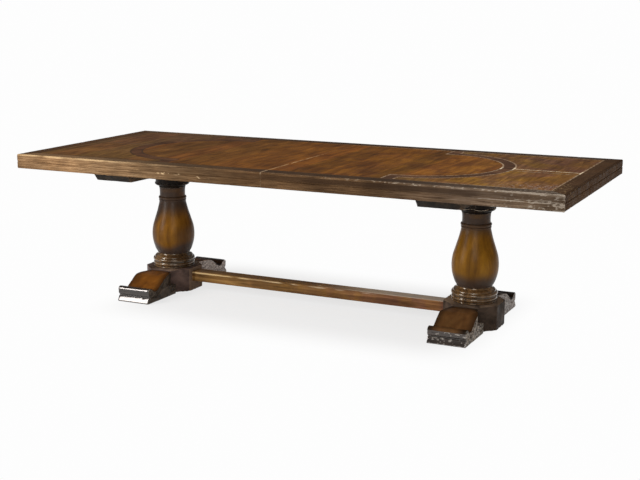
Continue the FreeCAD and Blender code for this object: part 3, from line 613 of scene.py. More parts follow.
def weather(piece, kind, grain, seed, free=1, edges=1, creases=1, grime_and_shade=0, wear_and_highlight=0):
    """Wears a piece by hand: waves, dents and chipped edges, all cut inwards, then paints wear and grime,
    darker in the creases, together with the painted highlights and painted shade that are given.
    """
    mesh = piece.data
    wave, dent, chip = WEAR_DEPTHS[kind]
    places, normals = vectors(mesh.vertices, "co"), vectors(mesh.vertex_normals, "vector")
    stretch = np.ones(3)
    stretch[grain] = GRAIN_STRETCH
    bends = spread(mesh, bend(mesh, places, normals), 2)
    outer, crease = step(bends, *WEAR_BEND), step(-bends, *CREASE_BEND)
    grained = places / stretch
    scuff = 0.5 + 0.5 * noise(grained, SCUFF_SIZE, seed)
    waves = 0.5 + 0.5 * noise(grained, WAVE_SIZE, seed + 1)
    dents = marks(grained, seed, DENTS)
    chips = outer * marks(grained, seed, CHIPS)
    cut = (wave * waves + dent * dents + chip * chips * (CHIP_LEAST + scuff)) * free
    mesh.vertices.foreach_set("co", (places - normals * cut[:, None]).astype(np.float32).ravel())
    mesh.update()
    worn = (outer * step(scuff, *SCUFF_RANGE) + CHIP_BARE * chips) * edges + DENT_BARE * dents * free
    # Painted highlights and reflections given by the callers join the wear; painted shade joins the grime
    paint(mesh, "wear_and_highlight", worn + wear_and_highlight)
    paint(mesh, "grime_and_shade", crease * creases + grime_and_shade)


# Materials

def fill_ramp(node, stops):
    """Gives a colour ramp its stops (place, colour)."""
    elements = node.color_ramp.elements
    while len(elements) < len(stops):
        elements.new(0.5)
    for element, (place, colour) in zip(elements, stops):
        element.position = place
        element.color = colour


class Graph:
    """Short calls for the node tree of one material."""

    def __init__(self, name):
        self.material = bpy.data.materials.new(name)
        self.material.use_nodes = True
        self.tree = self.material.node_tree
        self.shader = self.tree.nodes["Principled BSDF"]
        self.place = self.add("TexCoord").outputs["Object"]

    def add(self, kind, **settings):
        node = self.tree.nodes.new("ShaderNode" + kind)
        for key, value in settings.items():
            setattr(node, key, value)
        return node

    def feed(self, socket, value):
        if isinstance(value, bpy.types.NodeSocket):
            self.tree.links.new(value, socket)
        else:
            socket.default_value = value

    def set(self, key, value):
        self.feed(self.shader.inputs[key], value)

    def wire(self, kind, values, **settings):
        """A node with its first inputs fed; gives its first output."""
        node = self.add(kind, **settings)
        for socket, value in zip(node.inputs, values):
            self.feed(socket, value)
        return node.outputs[0]

    def math(self, operation, *values):
        return self.wire("Math", values, operation=operation)

    def times(self, product, *values):
        for value in values:
            product = self.math("MULTIPLY", product, value)
        return product

    def step(self, value, low, high, start=0, stop=1):
        return self.wire("MapRange", (value, low, high, start, stop), interpolation_type="SMOOTHSTEP")

    def axis(self, axis):
        node = self.add("SeparateXYZ")
        self.feed(node.inputs[0], self.place)
        return node.outputs[axis]

    def noise(self, sizes, detail=3.0, roughness=0.55, distortion=0.0, shift=None):
        """Noise from 0 to 1 about one half, with features of that size, or of those along X, Y and Z."""
        place = self.place
        if shift is not None:
            place = self.wire("VectorMath", (place, shift), operation="ADD")
        scaled = self.add("Mapping")
        self.feed(scaled.inputs["Vector"], place)
        scaled.inputs["Scale"].default_value = (1 / np.broadcast_to(sizes, 3)).tolist()
        node = self.add("TexNoise")
        self.feed(node.inputs["Vector"], scaled.outputs[0])
        settings = {"Scale": 1, "Detail": detail, "Roughness": roughness, "Distortion": distortion}
        for key, value in settings.items():
            node.inputs[key].default_value = value
        return node.outputs["Fac"]

    def patches(self, kind, start=0, stop=1):
        size, detail, roughness, low, high = kind
        return self.step(self.noise(size, detail, roughness), low, high, start, stop)

    def ramp(self, value, stops):
        """A colour for each value, smoothly from stop to stop."""
        node = self.add("ValToRGB")
        fill_ramp(node, stops)
        self.feed(node.inputs[0], value)
        return node.outputs[0]

    def mix(self, factor, first, second, blend="MIX"):
        node = self.add("Mix", data_type="RGBA", blend_type=blend)
        self.feed(node.inputs[0], factor)
        self.feed(node.inputs[6], first)
        self.feed(node.inputs[7], second)
        return node.outputs[2]

    def attribute(self, name):
        return self.add("Attribute", attribute_name=name).outputs["Fac"]

    def bump(self, height, strength, distance):
        node = self.add("Bump")
        node.inputs["Strength"].default_value = strength
        node.inputs["Distance"].default_value = distance
        self.feed(node.inputs["Height"], height)
        self.set("Normal", node.outputs[0])


def wood(name, tones, grain, worn, grime_and_shade, figure=0.02, rough=(0.5, 0.7), level=0.08, coat=0, clouds=0.25,
         streaks=0.5, scrape=0.35, length=9, relief=0.22, leaves=None, tint=None, shine=(1, 1, 1),
         coat_rough=0.12):
    """Stained wood: figure, fibres, pores, cloudy stain, scratches, worn edges and grime in the creases, with
    painted highlights and painted shade where the wear and grime attributes hold them.

    The worn colour, which also paints the highlights, is a colour, or a function that gives one.
    """
    g = Graph(name)
    shift, leaf, hue = veneer_leaves(g, leaves) if leaves else (None, None, None)

    def grained(across, lengthwise, *settings):
        sizes = [across] * 3
        sizes[grain] = lengthwise
        return g.noise(sizes, *settings)

    broad = grained(figure, figure * length, *FIGURE, shift)
    fibre = grained(*FIBRES, shift)
    pore = g.step(grained(*PORES, shift), *PORE_RANGE)
    scratch = g.step(grained(*SCRATCHES), *SCRATCH_RANGE)
    dark, middle, light = (tone(*t) for t in tones)
    figured = g.math("ADD", g.times(broad, 1 - streaks / 2), g.times(fibre, streaks / 2))
    colour = g.ramp(figured, list(zip(TONE_STOPS, (dark, middle, light))))
    cloud = g.patches(STAIN_CLOUDS, 1 - clouds, 1 + clouds)
    if leaves:
        cloud = g.times(cloud, g.step(leaf, 0, 1, *LEAF_SHADES))
        colour = g.mix(1.0, colour, g.mix(hue, *LEAF_HUES), "MULTIPLY")
    shade = g.add("CombineColor")
    for socket in shade.inputs[:3]:
        g.feed(socket, cloud)
    colour = g.mix(1.0, colour, shade.outputs[0], "MULTIPLY")
    colour = g.mix(g.times(pore, PORE_COVER), colour, dark)
    if tint:
        colour = tint(g, colour)
    fray = g.times(g.math("SUBTRACT", fibre, 0.5), WEAR_AND_HIGHLIGHT_FRAY)
    bare_and_highlit = g.step(g.math("ADD", g.attribute("wear_and_highlight"), fray), *WEAR_AND_HIGHLIGHT_RANGE)
    scraped = g.times(scratch, g.patches(SCRAPED_PATCHES), scrape)
    covered = g.math("MAXIMUM", g.times(bare_and_highlit, WEAR_AND_HIGHLIGHT_COVER), scraped)
    colour = g.mix(covered, colour, worn(g) if callable(worn) else tone(*worn))
    fray = g.times(g.math("SUBTRACT", broad, 0.5), GRIME_AND_SHADE_FRAY)
    caked_and_shaded = g.step(g.math("ADD", g.attribute("grime_and_shade"), fray), *GRIME_AND_SHADE_RANGE)
    g.set("Base Color", g.mix(g.times(caked_and_shaded, GRIME_AND_SHADE_COVER), colour, tone(*grime_and_shade)))
    g.set("Roughness", g.math("ADD", g.patches(GLOSS_PATCHES, *rough), g.times(bare_and_highlit, WEAR_AND_HIGHLIGHT_DULL)))
    g.set("Specular IOR Level", level)
    g.set("Specular Tint", (*shine, 1))
    g.set("Coat Weight", coat)
    g.set("Coat Roughness", coat_rough)
    height = g.math("ADD", g.times(fibre, FIBRE_RISE), g.times(scratch, SCRATCH_RISE))
    g.bump(g.math("SUBTRACT", height, pore), relief, WOOD_RELIEF)
    return g.material


def veneer_leaves(g, width):
    """Veneer laid side by side in leaves of about that width: each shows another part of the log."""
    node = g.add("TexVoronoi", voronoi_dimensions="1D", feature="F1")
    node.inputs["Scale"].default_value = 1 / width
    node.inputs["Randomness"].default_value = LEAF_RANDOM
    g.feed(node.inputs["W"], g.axis(X))
    scaled = g.add("VectorMath", operation="SCALE")
    g.feed(scaled.inputs[0], node.outputs["Color"])
    scaled.inputs["Scale"].default_value = LEAF_SHIFT
    split = g.add("SeparateColor")
    g.feed(split.inputs[0], node.outputs["Color"])
    return scaled.outputs[0], split.outputs[0], split.outputs[1]


def hue_patches(g, colour, warm, cool, size):
    """Patches of that size where the stain leans to one hue or the other, faint on the left."""
    hue = g.mix(g.patches((size, *HUE_PATCHES)), (*cool, 1), (*warm, 1))
    amount = g.step(g.axis(X), *HUE_REACH, HUE_LEAST, 1)
    return g.mix(amount, colour, g.mix(1.0, colour, hue, "MULTIPLY"))


def across_table(stops, hues=None):
    """A tint along the table: (share of its length, colour), and hues (warm, cool, patch size)."""
    def tint(g, colour):
        share = g.math("DIVIDE", g.math("SUBTRACT", g.axis(X), cad_low.x), cad_high.x - cad_low.x)
        shades = g.ramp(share, [(place, (*shade, 1)) for place, shade in stops])
        colour = g.mix(1.0, colour, shades, "MULTIPLY")
        return hue_patches(g, colour, *hues) if hues else colour
    return tint


def bare_wood(reach, left, right):
    """Bare wood whose colour changes along the table, over that reach on each side of the middle."""
    def bare(g):
        return g.ramp(g.step(g.axis(X), -reach, reach), ((0.0, tone(*left)), (1.0, tone(*right))))
    return bare


# Painted light: the borders much brighter towards the left end where the key light falls, greyer and bluer
# near the right end
BORDER_TINT_AND_LIGHT = across_table([
    (0, (1.3, 1.28, 1.22)), (0.1, (1.75, 1.72, 1.62)), (0.18, (1.75, 1.8, 1.78)),
    (0.3, (0.98, 1, 0.97)), (0.48, (0.69, 0.63, 0.54)), (0.7, (0.68, 0.65, 0.61)),
    (0.85, (0.96, 1.1, 1.42)), (0.93, (1.02, 1.2, 1.54)), (1, (0.72, 0.82, 1)),
])
# Tint of the field, darker on the left, and a painted sheen: greyer towards the right
FIELD_TINT_AND_SHEEN = across_table([
    (0, (0.78, 0.78, 0.88)), (0.25, (0.78, 0.78, 0.88)), (0.42, (1.06, 1.01, 0.8)),
    (0.62, (0.88, 0.8, 0.62)), (0.8, (1.1, 1.1, 1.06)), (1, (1, 0.98, 0.95)),
], ((1.14, 1.1, 0.78), (0.86, 0.79, 0.84), 0.15))
CORNER_TINT = across_table([
    (0, (0.7, 0.65, 0.78)), (0.3, (0.72, 0.68, 0.8)), (0.62, (0.98, 0.96, 0.86)),
    (0.84, (1.06, 1.04, 1)), (1, (0.8, 0.76, 1.02)),
], ((1.15, 1.11, 0.72), (0.9, 0.83, 1.08), 0.15))
STRETCHER_TINT = across_table([
    (0.22, (0.86, 0.88, 0.9)), (0.5, (1.08, 1.08, 1.05)), (0.8, (0.83, 0.73, 1.3)),
], ((1.1, 1.06, 0.86), (0.9, 0.82, 1.02), 0.08))
BAND_TINT = across_table([(0.15, (0.95, 0.84, 0.76)), (0.5, (1.0, 1.0, 1.0)), (1, (1.05, 1.0, 1.0))])
END_TINT = across_table([(0.1, (1.3, 1.2, 1.1)), (0.9, (1.15, 1.06, 1.02))])
# Lighter tone on both blocks, and painted light: the left block much brighter
BLOCK_TINT_AND_LIGHT = across_table([(0.2, (1.95, 2.15, 2.3)), (0.8, (1.34, 1.55, 1.45))])
TURNED_TINT = across_table([(0.2, (1.02, 0.97, 0.98)), (0.8, (1.12, 1.14, 1.1))])
# Painted light: the left feet's tops brighter; the right feet's tops redder-purple
FOOT_TINT_AND_LIGHT = across_table([(0.2, (1.1, 1.05, 0.85)), (0.8, (0.84, 1.02, 2.0))])
# Painted reflection: the right feet's toes lightened to grey
TOE_PAINTED_REFLECTION = across_table([(0.2, (1.0, 1.0, 1.0)), (0.8, (2.2, 2.1, 2.1))])
# Painted sheen: lightens the mottled glaze on the right front foot's flank
SCROLL_PAINTED_SHEEN = across_table([(0.2, (0.62, 0.62, 0.6)), (0.8, (2.2, 2.15, 2.1))])


def field_colour(g, colour):
    """The field's tint with its painted sheen, and the pale worn line beside the seam on the front part of
    the top.
    """
    near = g.step(g.math("ABSOLUTE", g.axis(X)), *SEAM_LINE)
    front = g.step(g.axis(Y), *SEAM_LINE_FRONT, SEAM_LINE_LEAST, 1.0)
    line = g.times(near, front, g.patches(SEAM_BREAKS), SEAM_LINE_COVER)
    return g.mix(line, FIELD_TINT_AND_SHEEN(g, colour), tone(*SEAM_TONE))


def corner_colour(g, colour):
    """The corners' tint, more golden towards the front, with pale specks at the right front corner."""
    depth = g.ramp(g.step(g.axis(Y), *CORNER_DEPTH), CORNER_DEPTH_TINTS)
    colour = g.mix(1.0, CORNER_TINT(g, colour), depth, "MULTIPLY")
    near = g.times(g.step(g.axis(X), *SPECKS_ALONG), g.step(g.axis(Y), *SPECKS_ACROSS))
    return g.mix(g.times(near, g.patches(CORNER_SPECKS), SPECK_COVER), colour, tone(*SPECK_GREY))


def string_wood():
    """Pale stringing, worn and broken, with a painted sheen: cream on the right half, faded to dull brown on
    the left half and along most of the front.
    """
    g = Graph("pale_stringing")

    def axis_line(turn):
        depth = g.times(g.axis(Y), turn)
        return g.times(g.step(depth, *AXIS_REACH), g.step(depth, *AXIS_SIDE))

    broken = g.patches(STRING_BREAKS)
    hidden = g.times(g.step(g.axis(Y), *STRING_FRONT), g.step(g.axis(X), *STRING_FRONT_HIDDEN))
    # Painted sheen: the cream fades out to the left and along the front
    fade = g.times(g.step(g.axis(X), *STRING_SHEEN_FADE, STRING_FADED, 1.0), g.math("SUBTRACT", 1, hidden))
    whole = g.step(axis_line(1), 0, 1, *STRING_WHOLE)
    pale = g.times(g.math("ADD", whole, g.times(broken, STRING_BROKEN)), fade)
    pale = g.times(pale, g.step(axis_line(-1), 0, 1, 1, AXIS_FRONT_SHARE))
    fibre = g.noise(STRING_FIBRE, 3)
    cream = g.mix(fibre, tone(*STRING_SHADE), tone(*STRING_CREAM))
    cream = g.mix(g.step(g.math("ABSOLUTE", g.axis(Y)), *AXIS_REACH), cream, tone(*AXIS_CREAM))
    dull = g.mix(g.step(g.axis(X), *STRING_DULLED), *[tone(*glaze) for glaze in STRING_DULL_TONES])
    g.set("Base Color", g.mix(pale, dull, cream))
    g.set("Roughness", g.step(fibre, *STRING_ROUGH))
    g.set("Specular IOR Level", 0.05)
    g.bump(broken, 0.15, 0.0004)
    return g.material


def metal(name, colour, dull, rough):
    """Turned metal with rolled streaks and tarnish."""
    g = Graph(name)
    streak = g.noise((0.0008, 0.0008, 0.02), 3)
    tarnish = g.patches(TARNISH_PATCHES)
    bright = g.mix(streak, tone(*[0.8 * c for c in colour]), tone(*colour))
    g.set("Base Color", g.mix(g.times(tarnish, 0.6), bright, tone(*dull)))
    g.set("Roughness", g.step(tarnish, 0, 1, rough, rough + 0.25))
    g.set("Metallic", 1)
    g.bump(streak, 0.1, 0.0002)
    return g.material


# What several woods share
SCROLL_FINISH = {"figure": 0.008, "length": 2, "rough": (0.4, 0.6), "streaks": 0.2, "scrape": 0.2}
BORDER_FINISH = {
    "tones": ((74, 53, 35), (106, 80, 55), (136, 108, 80)), "grime_and_shade": (34, 21, 14), "figure": 0.005,
    "length": 26, "rough": (0.45, 0.7),
}
material_of = {
    "turned": wood(
        "amber_turned_wood", ((92, 58, 12), (120, 79, 18), (142, 97, 26)), Z, (196, 158, 110), (62, 51, 46),
        figure=0.04, rough=(0.3, 0.44), coat=0.08, clouds=0.18, streaks=0.35, scrape=0.1, tint=TURNED_TINT,
        coat_rough=0.28),
    # The capitals' pale worn colour also paints the highlight on their wavy rim
    "capital": wood(
        "black_turned_wood", ((12, 8, 5), (28, 19, 12), (50, 35, 22)), Z, (240, 220, 196), BLACK_GLAZE,
        figure=0.022, rough=(0.25, 0.45)),
    "collar": wood(
        "brown_turned_wood", ((58, 39, 20), (106, 75, 42), (146, 109, 66)), Z, (236, 214, 178), (30, 21, 17),
        figure=0.022, rough=(0.14, 0.28), level=0.7, coat=0.25, shine=(1, 0.88, 0.7)),
    "foot": wood(
        "orange_brown_wood", ((88, 52, 18), (108, 66, 24), (124, 79, 31)), Y, (214, 188, 148), BLACK_GLAZE,
        figure=0.05, length=3, rough=(0.3, 0.45), streaks=0.2, scrape=0.05, tint=FOOT_TINT_AND_LIGHT),
    "toe": wood(
        "black_toe_glaze", ((14, 10, 8), (26, 20, 16), (46, 37, 30)), X, (168, 160, 150), BLACK_GLAZE,
        rough=(0.07, 0.15), level=1, scrape=0.1, relief=0.05, shine=(1, 0.92, 0.87), tint=TOE_PAINTED_REFLECTION),
    # The feet's flanks are one glaze in three brightnesses: lightened by a painted sheen on the right front
    # foot, painted shade on the left front foot, painted highlight on the back feet
    "scroll": wood(
        "mottled_glaze", ((30, 26, 22), (84, 76, 68), (164, 154, 142)), Y, (190, 180, 166), (18, 14, 12),
        tint=SCROLL_PAINTED_SHEEN, **SCROLL_FINISH),
    "scroll_painted_shade": wood(
        "glaze_painted_shade", ((48, 41, 34), (78, 68, 58), (102, 90, 78)), Y, (150, 138, 122), (16, 12, 10),
        **{**SCROLL_FINISH, "figure": 0.03, "scrape": 0.1}),
    "scroll_painted_highlight": wood(
        "mottled_glaze_painted_highlight", ((120, 108, 104), (208, 195, 188), (246, 238, 230)), Y, (246, 238, 230),
        (24, 19, 17), **SCROLL_FINISH),
    # Its worn colour also paints the reflection on the left block's right flank
    "block": wood(
        "dark_block_wood", ((40, 29, 25), (62, 47, 41), (82, 63, 55)), X, (150, 126, 104), (20, 15, 12),
        figure=0.06, rough=(0.4, 0.6), level=0.03, clouds=0.12, streaks=0.25, tint=BLOCK_TINT_AND_LIGHT),
    # Its pale colour, greyer to the right, paints the worn line's highlight and the top's reflection
    "stretcher": wood(
        "golden_stretcher_wood", ((76, 50, 22), (126, 90, 46), (156, 118, 68)), X,
        bare_wood(0.6, (228, 196, 142), (212, 198, 180)), (34, 22, 12), length=18, rough=(0.34, 0.55),
        level=0.15, tint=STRETCHER_TINT),
    "bearer": wood(
        "black_bearer_wood", ((15, 12, 9), (31, 25, 19), (53, 41, 29)), Y, (84, 66, 48), (10, 8, 6),
        figure=0.04, level=0.12),
    # Its pale colour also paints the front arris's highlight
    "border_x": wood(
        "border_wood_long", grain=X, worn=bare_wood(1.2, (212, 178, 132), (166, 152, 136)), level=0.05,
        tint=BORDER_TINT_AND_LIGHT, **BORDER_FINISH),
    "border_y": wood(
        "border_wood_end", grain=Y, worn=(190, 156, 112), level=0.02, tint=END_TINT, **BORDER_FINISH),
    "field": wood(
        "field_veneer", ((84, 52, 23), (106, 69, 32), (126, 84, 39)), Y, (150, 120, 84), (40, 26, 16),
        figure=0.035, level=0.05, length=6, clouds=0.18, streaks=0.4, scrape=0.12, leaves=0.13,
        tint=field_colour),
    "corner": wood(
        "corner_veneer", ((84, 57, 32), (110, 79, 46), (134, 98, 57)), Y, (176, 148, 112), (40, 28, 20),
        figure=0.022, level=0.05, length=7, clouds=0.16, streaks=0.45, scrape=0.3, leaves=0.16,
        tint=corner_colour),
    "band": wood(
        "dark_band_veneer", ((48, 31, 21), (80, 55, 38), (104, 74, 52)), X, (120, 94, 70), (24, 16, 12),
        level=0.05, tint=BAND_TINT),
    "string": string_wood(),
    "core": wood(
        "core_board", ((120, 96, 66), (160, 132, 96), (188, 162, 124)), X, (190, 170, 140), (80, 64, 46),
        rough=(0.6, 0.8), level=0.2),
    "slide": wood(
        "slide_wood", ((112, 82, 48), (156, 122, 80), (186, 154, 110)), X, (196, 170, 130), (70, 50, 32),
        rough=(0.45, 0.65), level=0.25),
    "steel": metal("zinc_plated_steel", (176, 178, 182), (92, 92, 94), 0.32),
    "brass": metal("brass", (206, 170, 96), (112, 86, 48), 0.28),
}

# Materials of the CAD nodes that stay, by the ending of their names
CAD_FINISHES = {
    "core": "core", "centre_field": "field", "corner_field": "corner", "axis_band": "corner",
    "ring_band": "band", "cross_bands": "band", "stringing": "string", "runner": "slide",
    "runner_screws": "steel", "slide_rail": "slide", "slide_rail_screws": "steel",
    "tie_rods": "steel", "tie_rod_nuts": "steel",
    "tie_rod_washers": "steel", "foot_dowels": "slide", "alignment_pins": "brass",
}


def finish_cad_nodes():
    """Each CAD node that stays gets the finish whose name is the longest ending of its own name."""
    for name, node in frame["nodes"].items():
        endings = [ending for ending in CAD_FINISHES if name.endswith(ending)]
        if endings:
            node.data.materials.clear()
            node.data.materials.append(material_of[CAD_FINISHES[max(endings, key=len)]])


# Pieces

def turning(side, kind, line, finish, seed, grime_and_shade=None, wear_and_highlight=None):
    """A turned piece: its outline, as shares of the CAD node's radius and height, swept round its axis."""
    node = f"{side}_{kind}"
    low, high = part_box(node)
    centre, radius, height = (low + high) / 2, (high.x - low.x) / 2, high.z - low.z
    angles = np.linspace(0, 2 * math.pi, TURN_STEPS, endpoint=False)
    rings = np.empty((len(line), TURN_STEPS, 3))
    rings[:, :, X] = centre.x + radius * line[:, :1] * np.cos(angles)
    rings[:, :, Y] = centre.y + radius * line[:, :1] * np.sin(angles)
    rings[:, :, Z] = low.z + height * line[:, 1:]
    piece = piece_of(node + "_turning", *skin(rings), node, "turned_wood", [finish])
    shares = (rings.reshape(-1, 3) - low) / (high - low)
    # Stain with painted shade, and wear or a painted highlight, as given
    stain_and_shade, bare = (mark(shares) if mark else 0 for mark in (grime_and_shade, wear_and_highlight))
    weather(piece, kind, Z, seed, edges=TURNED_EDGES[kind], grime_and_shade=stain_and_shade, wear_and_highlight=bare)


def outline_of(shares, node):
    """A turned outline in shares, spaced evenly in real length."""
    low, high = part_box(node)
    radius, height = (high.x - low.x) / 2, high.z - low.z
    size = np.array([radius, height])
    return bowed([(a * radius, b * height, c * radius) for a, b, c in shares], FINE) / size


def pedestal_turnings(side, seed):
    # Painted shadow of the top on the upper part with darker stain, painted shade on the flanks, darker
    # towards the bottom, mottled neck
    def stained_and_shaded(shares):
        table = BALUSTER_SHADE_AND_STAIN_SHARES[side]
        stains_and_shades = [level * step(shares[:, axis], *reach) for level, axis, *reach in table]
        mottled = NECK_MOTTLE * noise(shares, NECK_MOTTLE_SHARES, seed + 5) * step(shares[:, Z], *NECK_SHARES)
        flank = step(shares[:, X], *FLANK_SHARES) * step(shares[:, Z], *FLANK_TOP_SHARES)
        return sum(stains_and_shades) + mottled + FLANK_SHADE[side] * flank

    # Painted shade on the collar's right part, standing for its dark reflection
    def shaded(shares):
        return COLLAR_SHADE[side] * step(shares[:, X], *COLLAR_SHADE_SHARES)

    # A painted highlight: a pale wavy line of glints round the rim
    def scalloped(shares):
        turn = np.arctan2(shares[:, Y] - 0.5, shares[:, X] - 0.5) - SCALLOP_TURN
        line = SCALLOP_LEVEL_SHARE + SCALLOP_RISE_SHARE * np.cos(SCALLOP_COUNT * turn)
        return SCALLOP_HIGHLIGHT[side] * step(np.abs(shares[:, Z] - line), *SCALLOP_WIDTH_SHARES)

    belly = smooth(BALUSTER_CURVE_SHARES, BALUSTER_STEPS)[:-1]
    neck, collar, capital = (outline_of(shares, f"{side}_{kind}") for shares, kind in (
        (BALUSTER_NECK_SHARES, "baluster"), (COLLAR_SHARES, "collar"), (CAPITAL_SHARES, "capital")))
    turning(side, "baluster", np.concatenate([belly, neck]), "turned", seed, grime_and_shade=stained_and_shaded)
    turning(side, "collar", collar, "collar", seed + 10, grime_and_shade=shaded)
    turning(side, "capital", capital, "capital", seed + 20, wear_and_highlight=scalloped)


def plan_block(side, seed):
    """The octagonal block that the feet and the stretcher meet."""
    node = side + "_base_block"
    low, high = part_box(node)
    centre = (low + high) / 2
    half, chamfer = (high.x - low.x) / 2, BLOCK_CHAMFER_SHARE * (high.x - low.x)
    corners = []
    for a, b in ((1, 1), (-1, 1), (-1, -1), (1, -1)):
        near, far = (a * (half - chamfer), b * half), (a * half, b * (half - chamfer))
        corners += [far, near] if a * b > 0 else [near, far]
    loop = rounded([(a, b, ARRIS) for a, b in corners], COARSE)
    rings = []
    for z, depth in eased(low.z, high.z, COARSE):
        ring = inset(loop, depth)
        rings.append(np.column_stack([ring + [centre.x, centre.y], np.full(len(ring), z)]))
    rings = np.array(rings)
    piece = piece_of(node + "_joinery", *skin(rings), node, "foot_wood", ["block"], 30)
    # Painted reflection: the left block's right flank is made paler with the worn colour
    flank = step(high.x - rings.reshape(-1, 3)[:, X], *BLOCK_FLANK)
    weather(piece, "block", X, seed, wear_and_highlight=BLOCK_FLANK_REFLECTION[side] * flank)


def foot_side(loop, size):
    """Points in a foot's outline and on it, their faces, and the carving's depth."""
    low, high = loop.min(axis=0), loop.max(axis=0)
    columns, rows = (np.arange(low[k], high[k], MEDIUM) for k in range(2))
    grid = np.array([(a, b) for a in columns for b in rows])
    (p, q), (r, s) = loop.T, np.roll(loop, -1, axis=0).T
    a, b = grid[:, :1], grid[:, 1:]
    with np.errstate(divide="ignore", invalid="ignore"):
        crossed = ((q > b) != (s > b)) & (a < (r - p) * (b - q) / (s - q) + p)
    inside = (crossed.sum(axis=1) % 2 == 1) & (nearest(grid, loop) > RIM_SHARE * MEDIUM)
    points = np.concatenate([loop, grid[inside]])
    flat = [Vector(place) for place in points]
    _, _, faces, origin, _, _ = delaunay_2d_cdt(flat, [], [list(range(len(loop)))], 1, 1e-7)
    faces = [[origin[k][0] for k in face] for face in faces]
    depth = np.zeros(len(points))
    for shares in SCROLL_SHARES:
        line = smooth(np.array(shares) * size, SCROLL_STEPS)
        reach = np.clip(1 - nearest(points, line) / SCROLL_HALF_WIDTH, 0, 1)
        depth = np.maximum(depth, reach ** SCROLL_POWER * SCROLL_DEPTH)
    depth *= step(nearest(points, loop), 0, 2 * ARRIS)
    return points, faces, depth


def make_foot_form():
    """What the feet share: the outline at a distance from the middle, its toe's count, the carved side."""
    low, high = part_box("left_back_foot")
    root, half, size = low.y, (high.x - low.x) / 2, np.array([high.y, high.z])
    toe_points = [(a * size[0], b * size[1], c * size[1]) for a, b, c in FOOT_TOE_SHARES]
    toe = bowed([(root, 0, 0), *toe_points], FOOT_SPACING)
    curve = smooth(np.array(FOOT_TOP_SHARES) * size, FOOT_TOP_STEPS)[::-1]

    def outline(away):
        cheek = root + (CHEEK_REACH - root) * max(0, away - ROOT_HALF) / (half - ROOT_HALF)
        reach = np.linspace(curve[-1, 0], cheek, TOP_COUNT)
        top = np.column_stack([reach, np.interp(reach, curve[:, 0], curve[:, 1])])
        turns = [top[-1], (cheek, CHEEK_LEVEL + LEDGE_FALL), (root, CHEEK_LEVEL - LEDGE_FALL), (root, 0)]
        heel = [np.linspace(a, b, n + 1)[1:] for a, b, n in zip(turns, turns[1:], HEEL_COUNTS)]
        return np.concatenate([toe, top, *heel])[:-1]

    return outline, len(toe), foot_side(inset(outline(half), ARRIS), size)


def foot(side, end, form, seed):
    """A scrolled foot: its outline swept across its width, cut in at the cheeks, with carved sides."""
    node = f"{side}_{end}_foot"
    low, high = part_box(node)
    middle, half = (low.x + high.x) / 2, (high.x - low.x) / 2
    # Back feet take the glaze with painted highlight, front feet theirs from FRONT_FLANKS
    outward, flank = (1, "scroll_painted_highlight") if end == "back" else (-1, FRONT_FLANKS[side])
    outline, toe_count, (side_points, side_faces, depth) = form
    stations = eased(-half, half, COARSE)
    rings = [np.insert(inset(outline(abs(x)), shrink), 0, x, axis=1) for x, shrink in stations]
    points, faces = skin(np.array(rings))
    count, total = len(rings[0]), len(points)
    faces = faces[:-2]
    glazed, bare = toe_count - ROLL_BARE_COUNT[side], TOP_COUNT + ROLL_BARE_COUNT[side]
    ring_zones = np.repeat((1, 0, 2), (glazed, bare, count - glazed - bare))
    zones = np.tile(ring_zones, len(rings) - 1).tolist()
    inner, hollow = side_points[count:], depth[count:]
    for base, start in ((0, total), (total - count, total + len(inner))):
        faces += [[base + k if k < count else start + k - count for k in face] for face in side_faces]
        zones += [2] * len(side_faces)
    near, far = (np.column_stack([face * (half - hollow), inner]) for face in (-1, 1))
    points = np.concatenate([points, near, far])
    places = np.column_stack([middle + points[:, 0], outward * points[:, 1], points[:, 2]])
    piece = piece_of(node + "_carving", places, faces, node, "foot_wood", ["foot", "toe", flank], 38, zones)
    reach = points[:, 1]
    out = reach - reach.min()
    on_top = np.zeros(len(points), bool)
    on_top[:total] = np.tile(ring_zones == 0, len(rings))
    across = np.abs(points[:, 0]) / half
    # Darker towards the edges; painted shade by the block, in the roll's valley and over the back feet's tops
    measures = [(across, EDGE_DARKENING_SHARES), (out, ROOT_SHADE), (reach, ROLL_SHADES[side])]
    if end == "back":
        measures.append((reach, BACK_SHADE))
    shade = sum(level * step(measure, *stops) for measure, (level, *stops) in measures) * on_top
    pale = FOOT_PALE * marks(places, seed, FOOT_SPOTS) * ~on_top
    if end == "front":
        pale *= FRONT_PALE[side]
    exposed = step(out, *FOOT_WORN)
    weather(piece, "foot", Y, seed, free=exposed, edges=FOOT_EDGES * exposed, creases=FOOT_CREASES[end],
            grime_and_shade=shade, wear_and_highlight=pale)


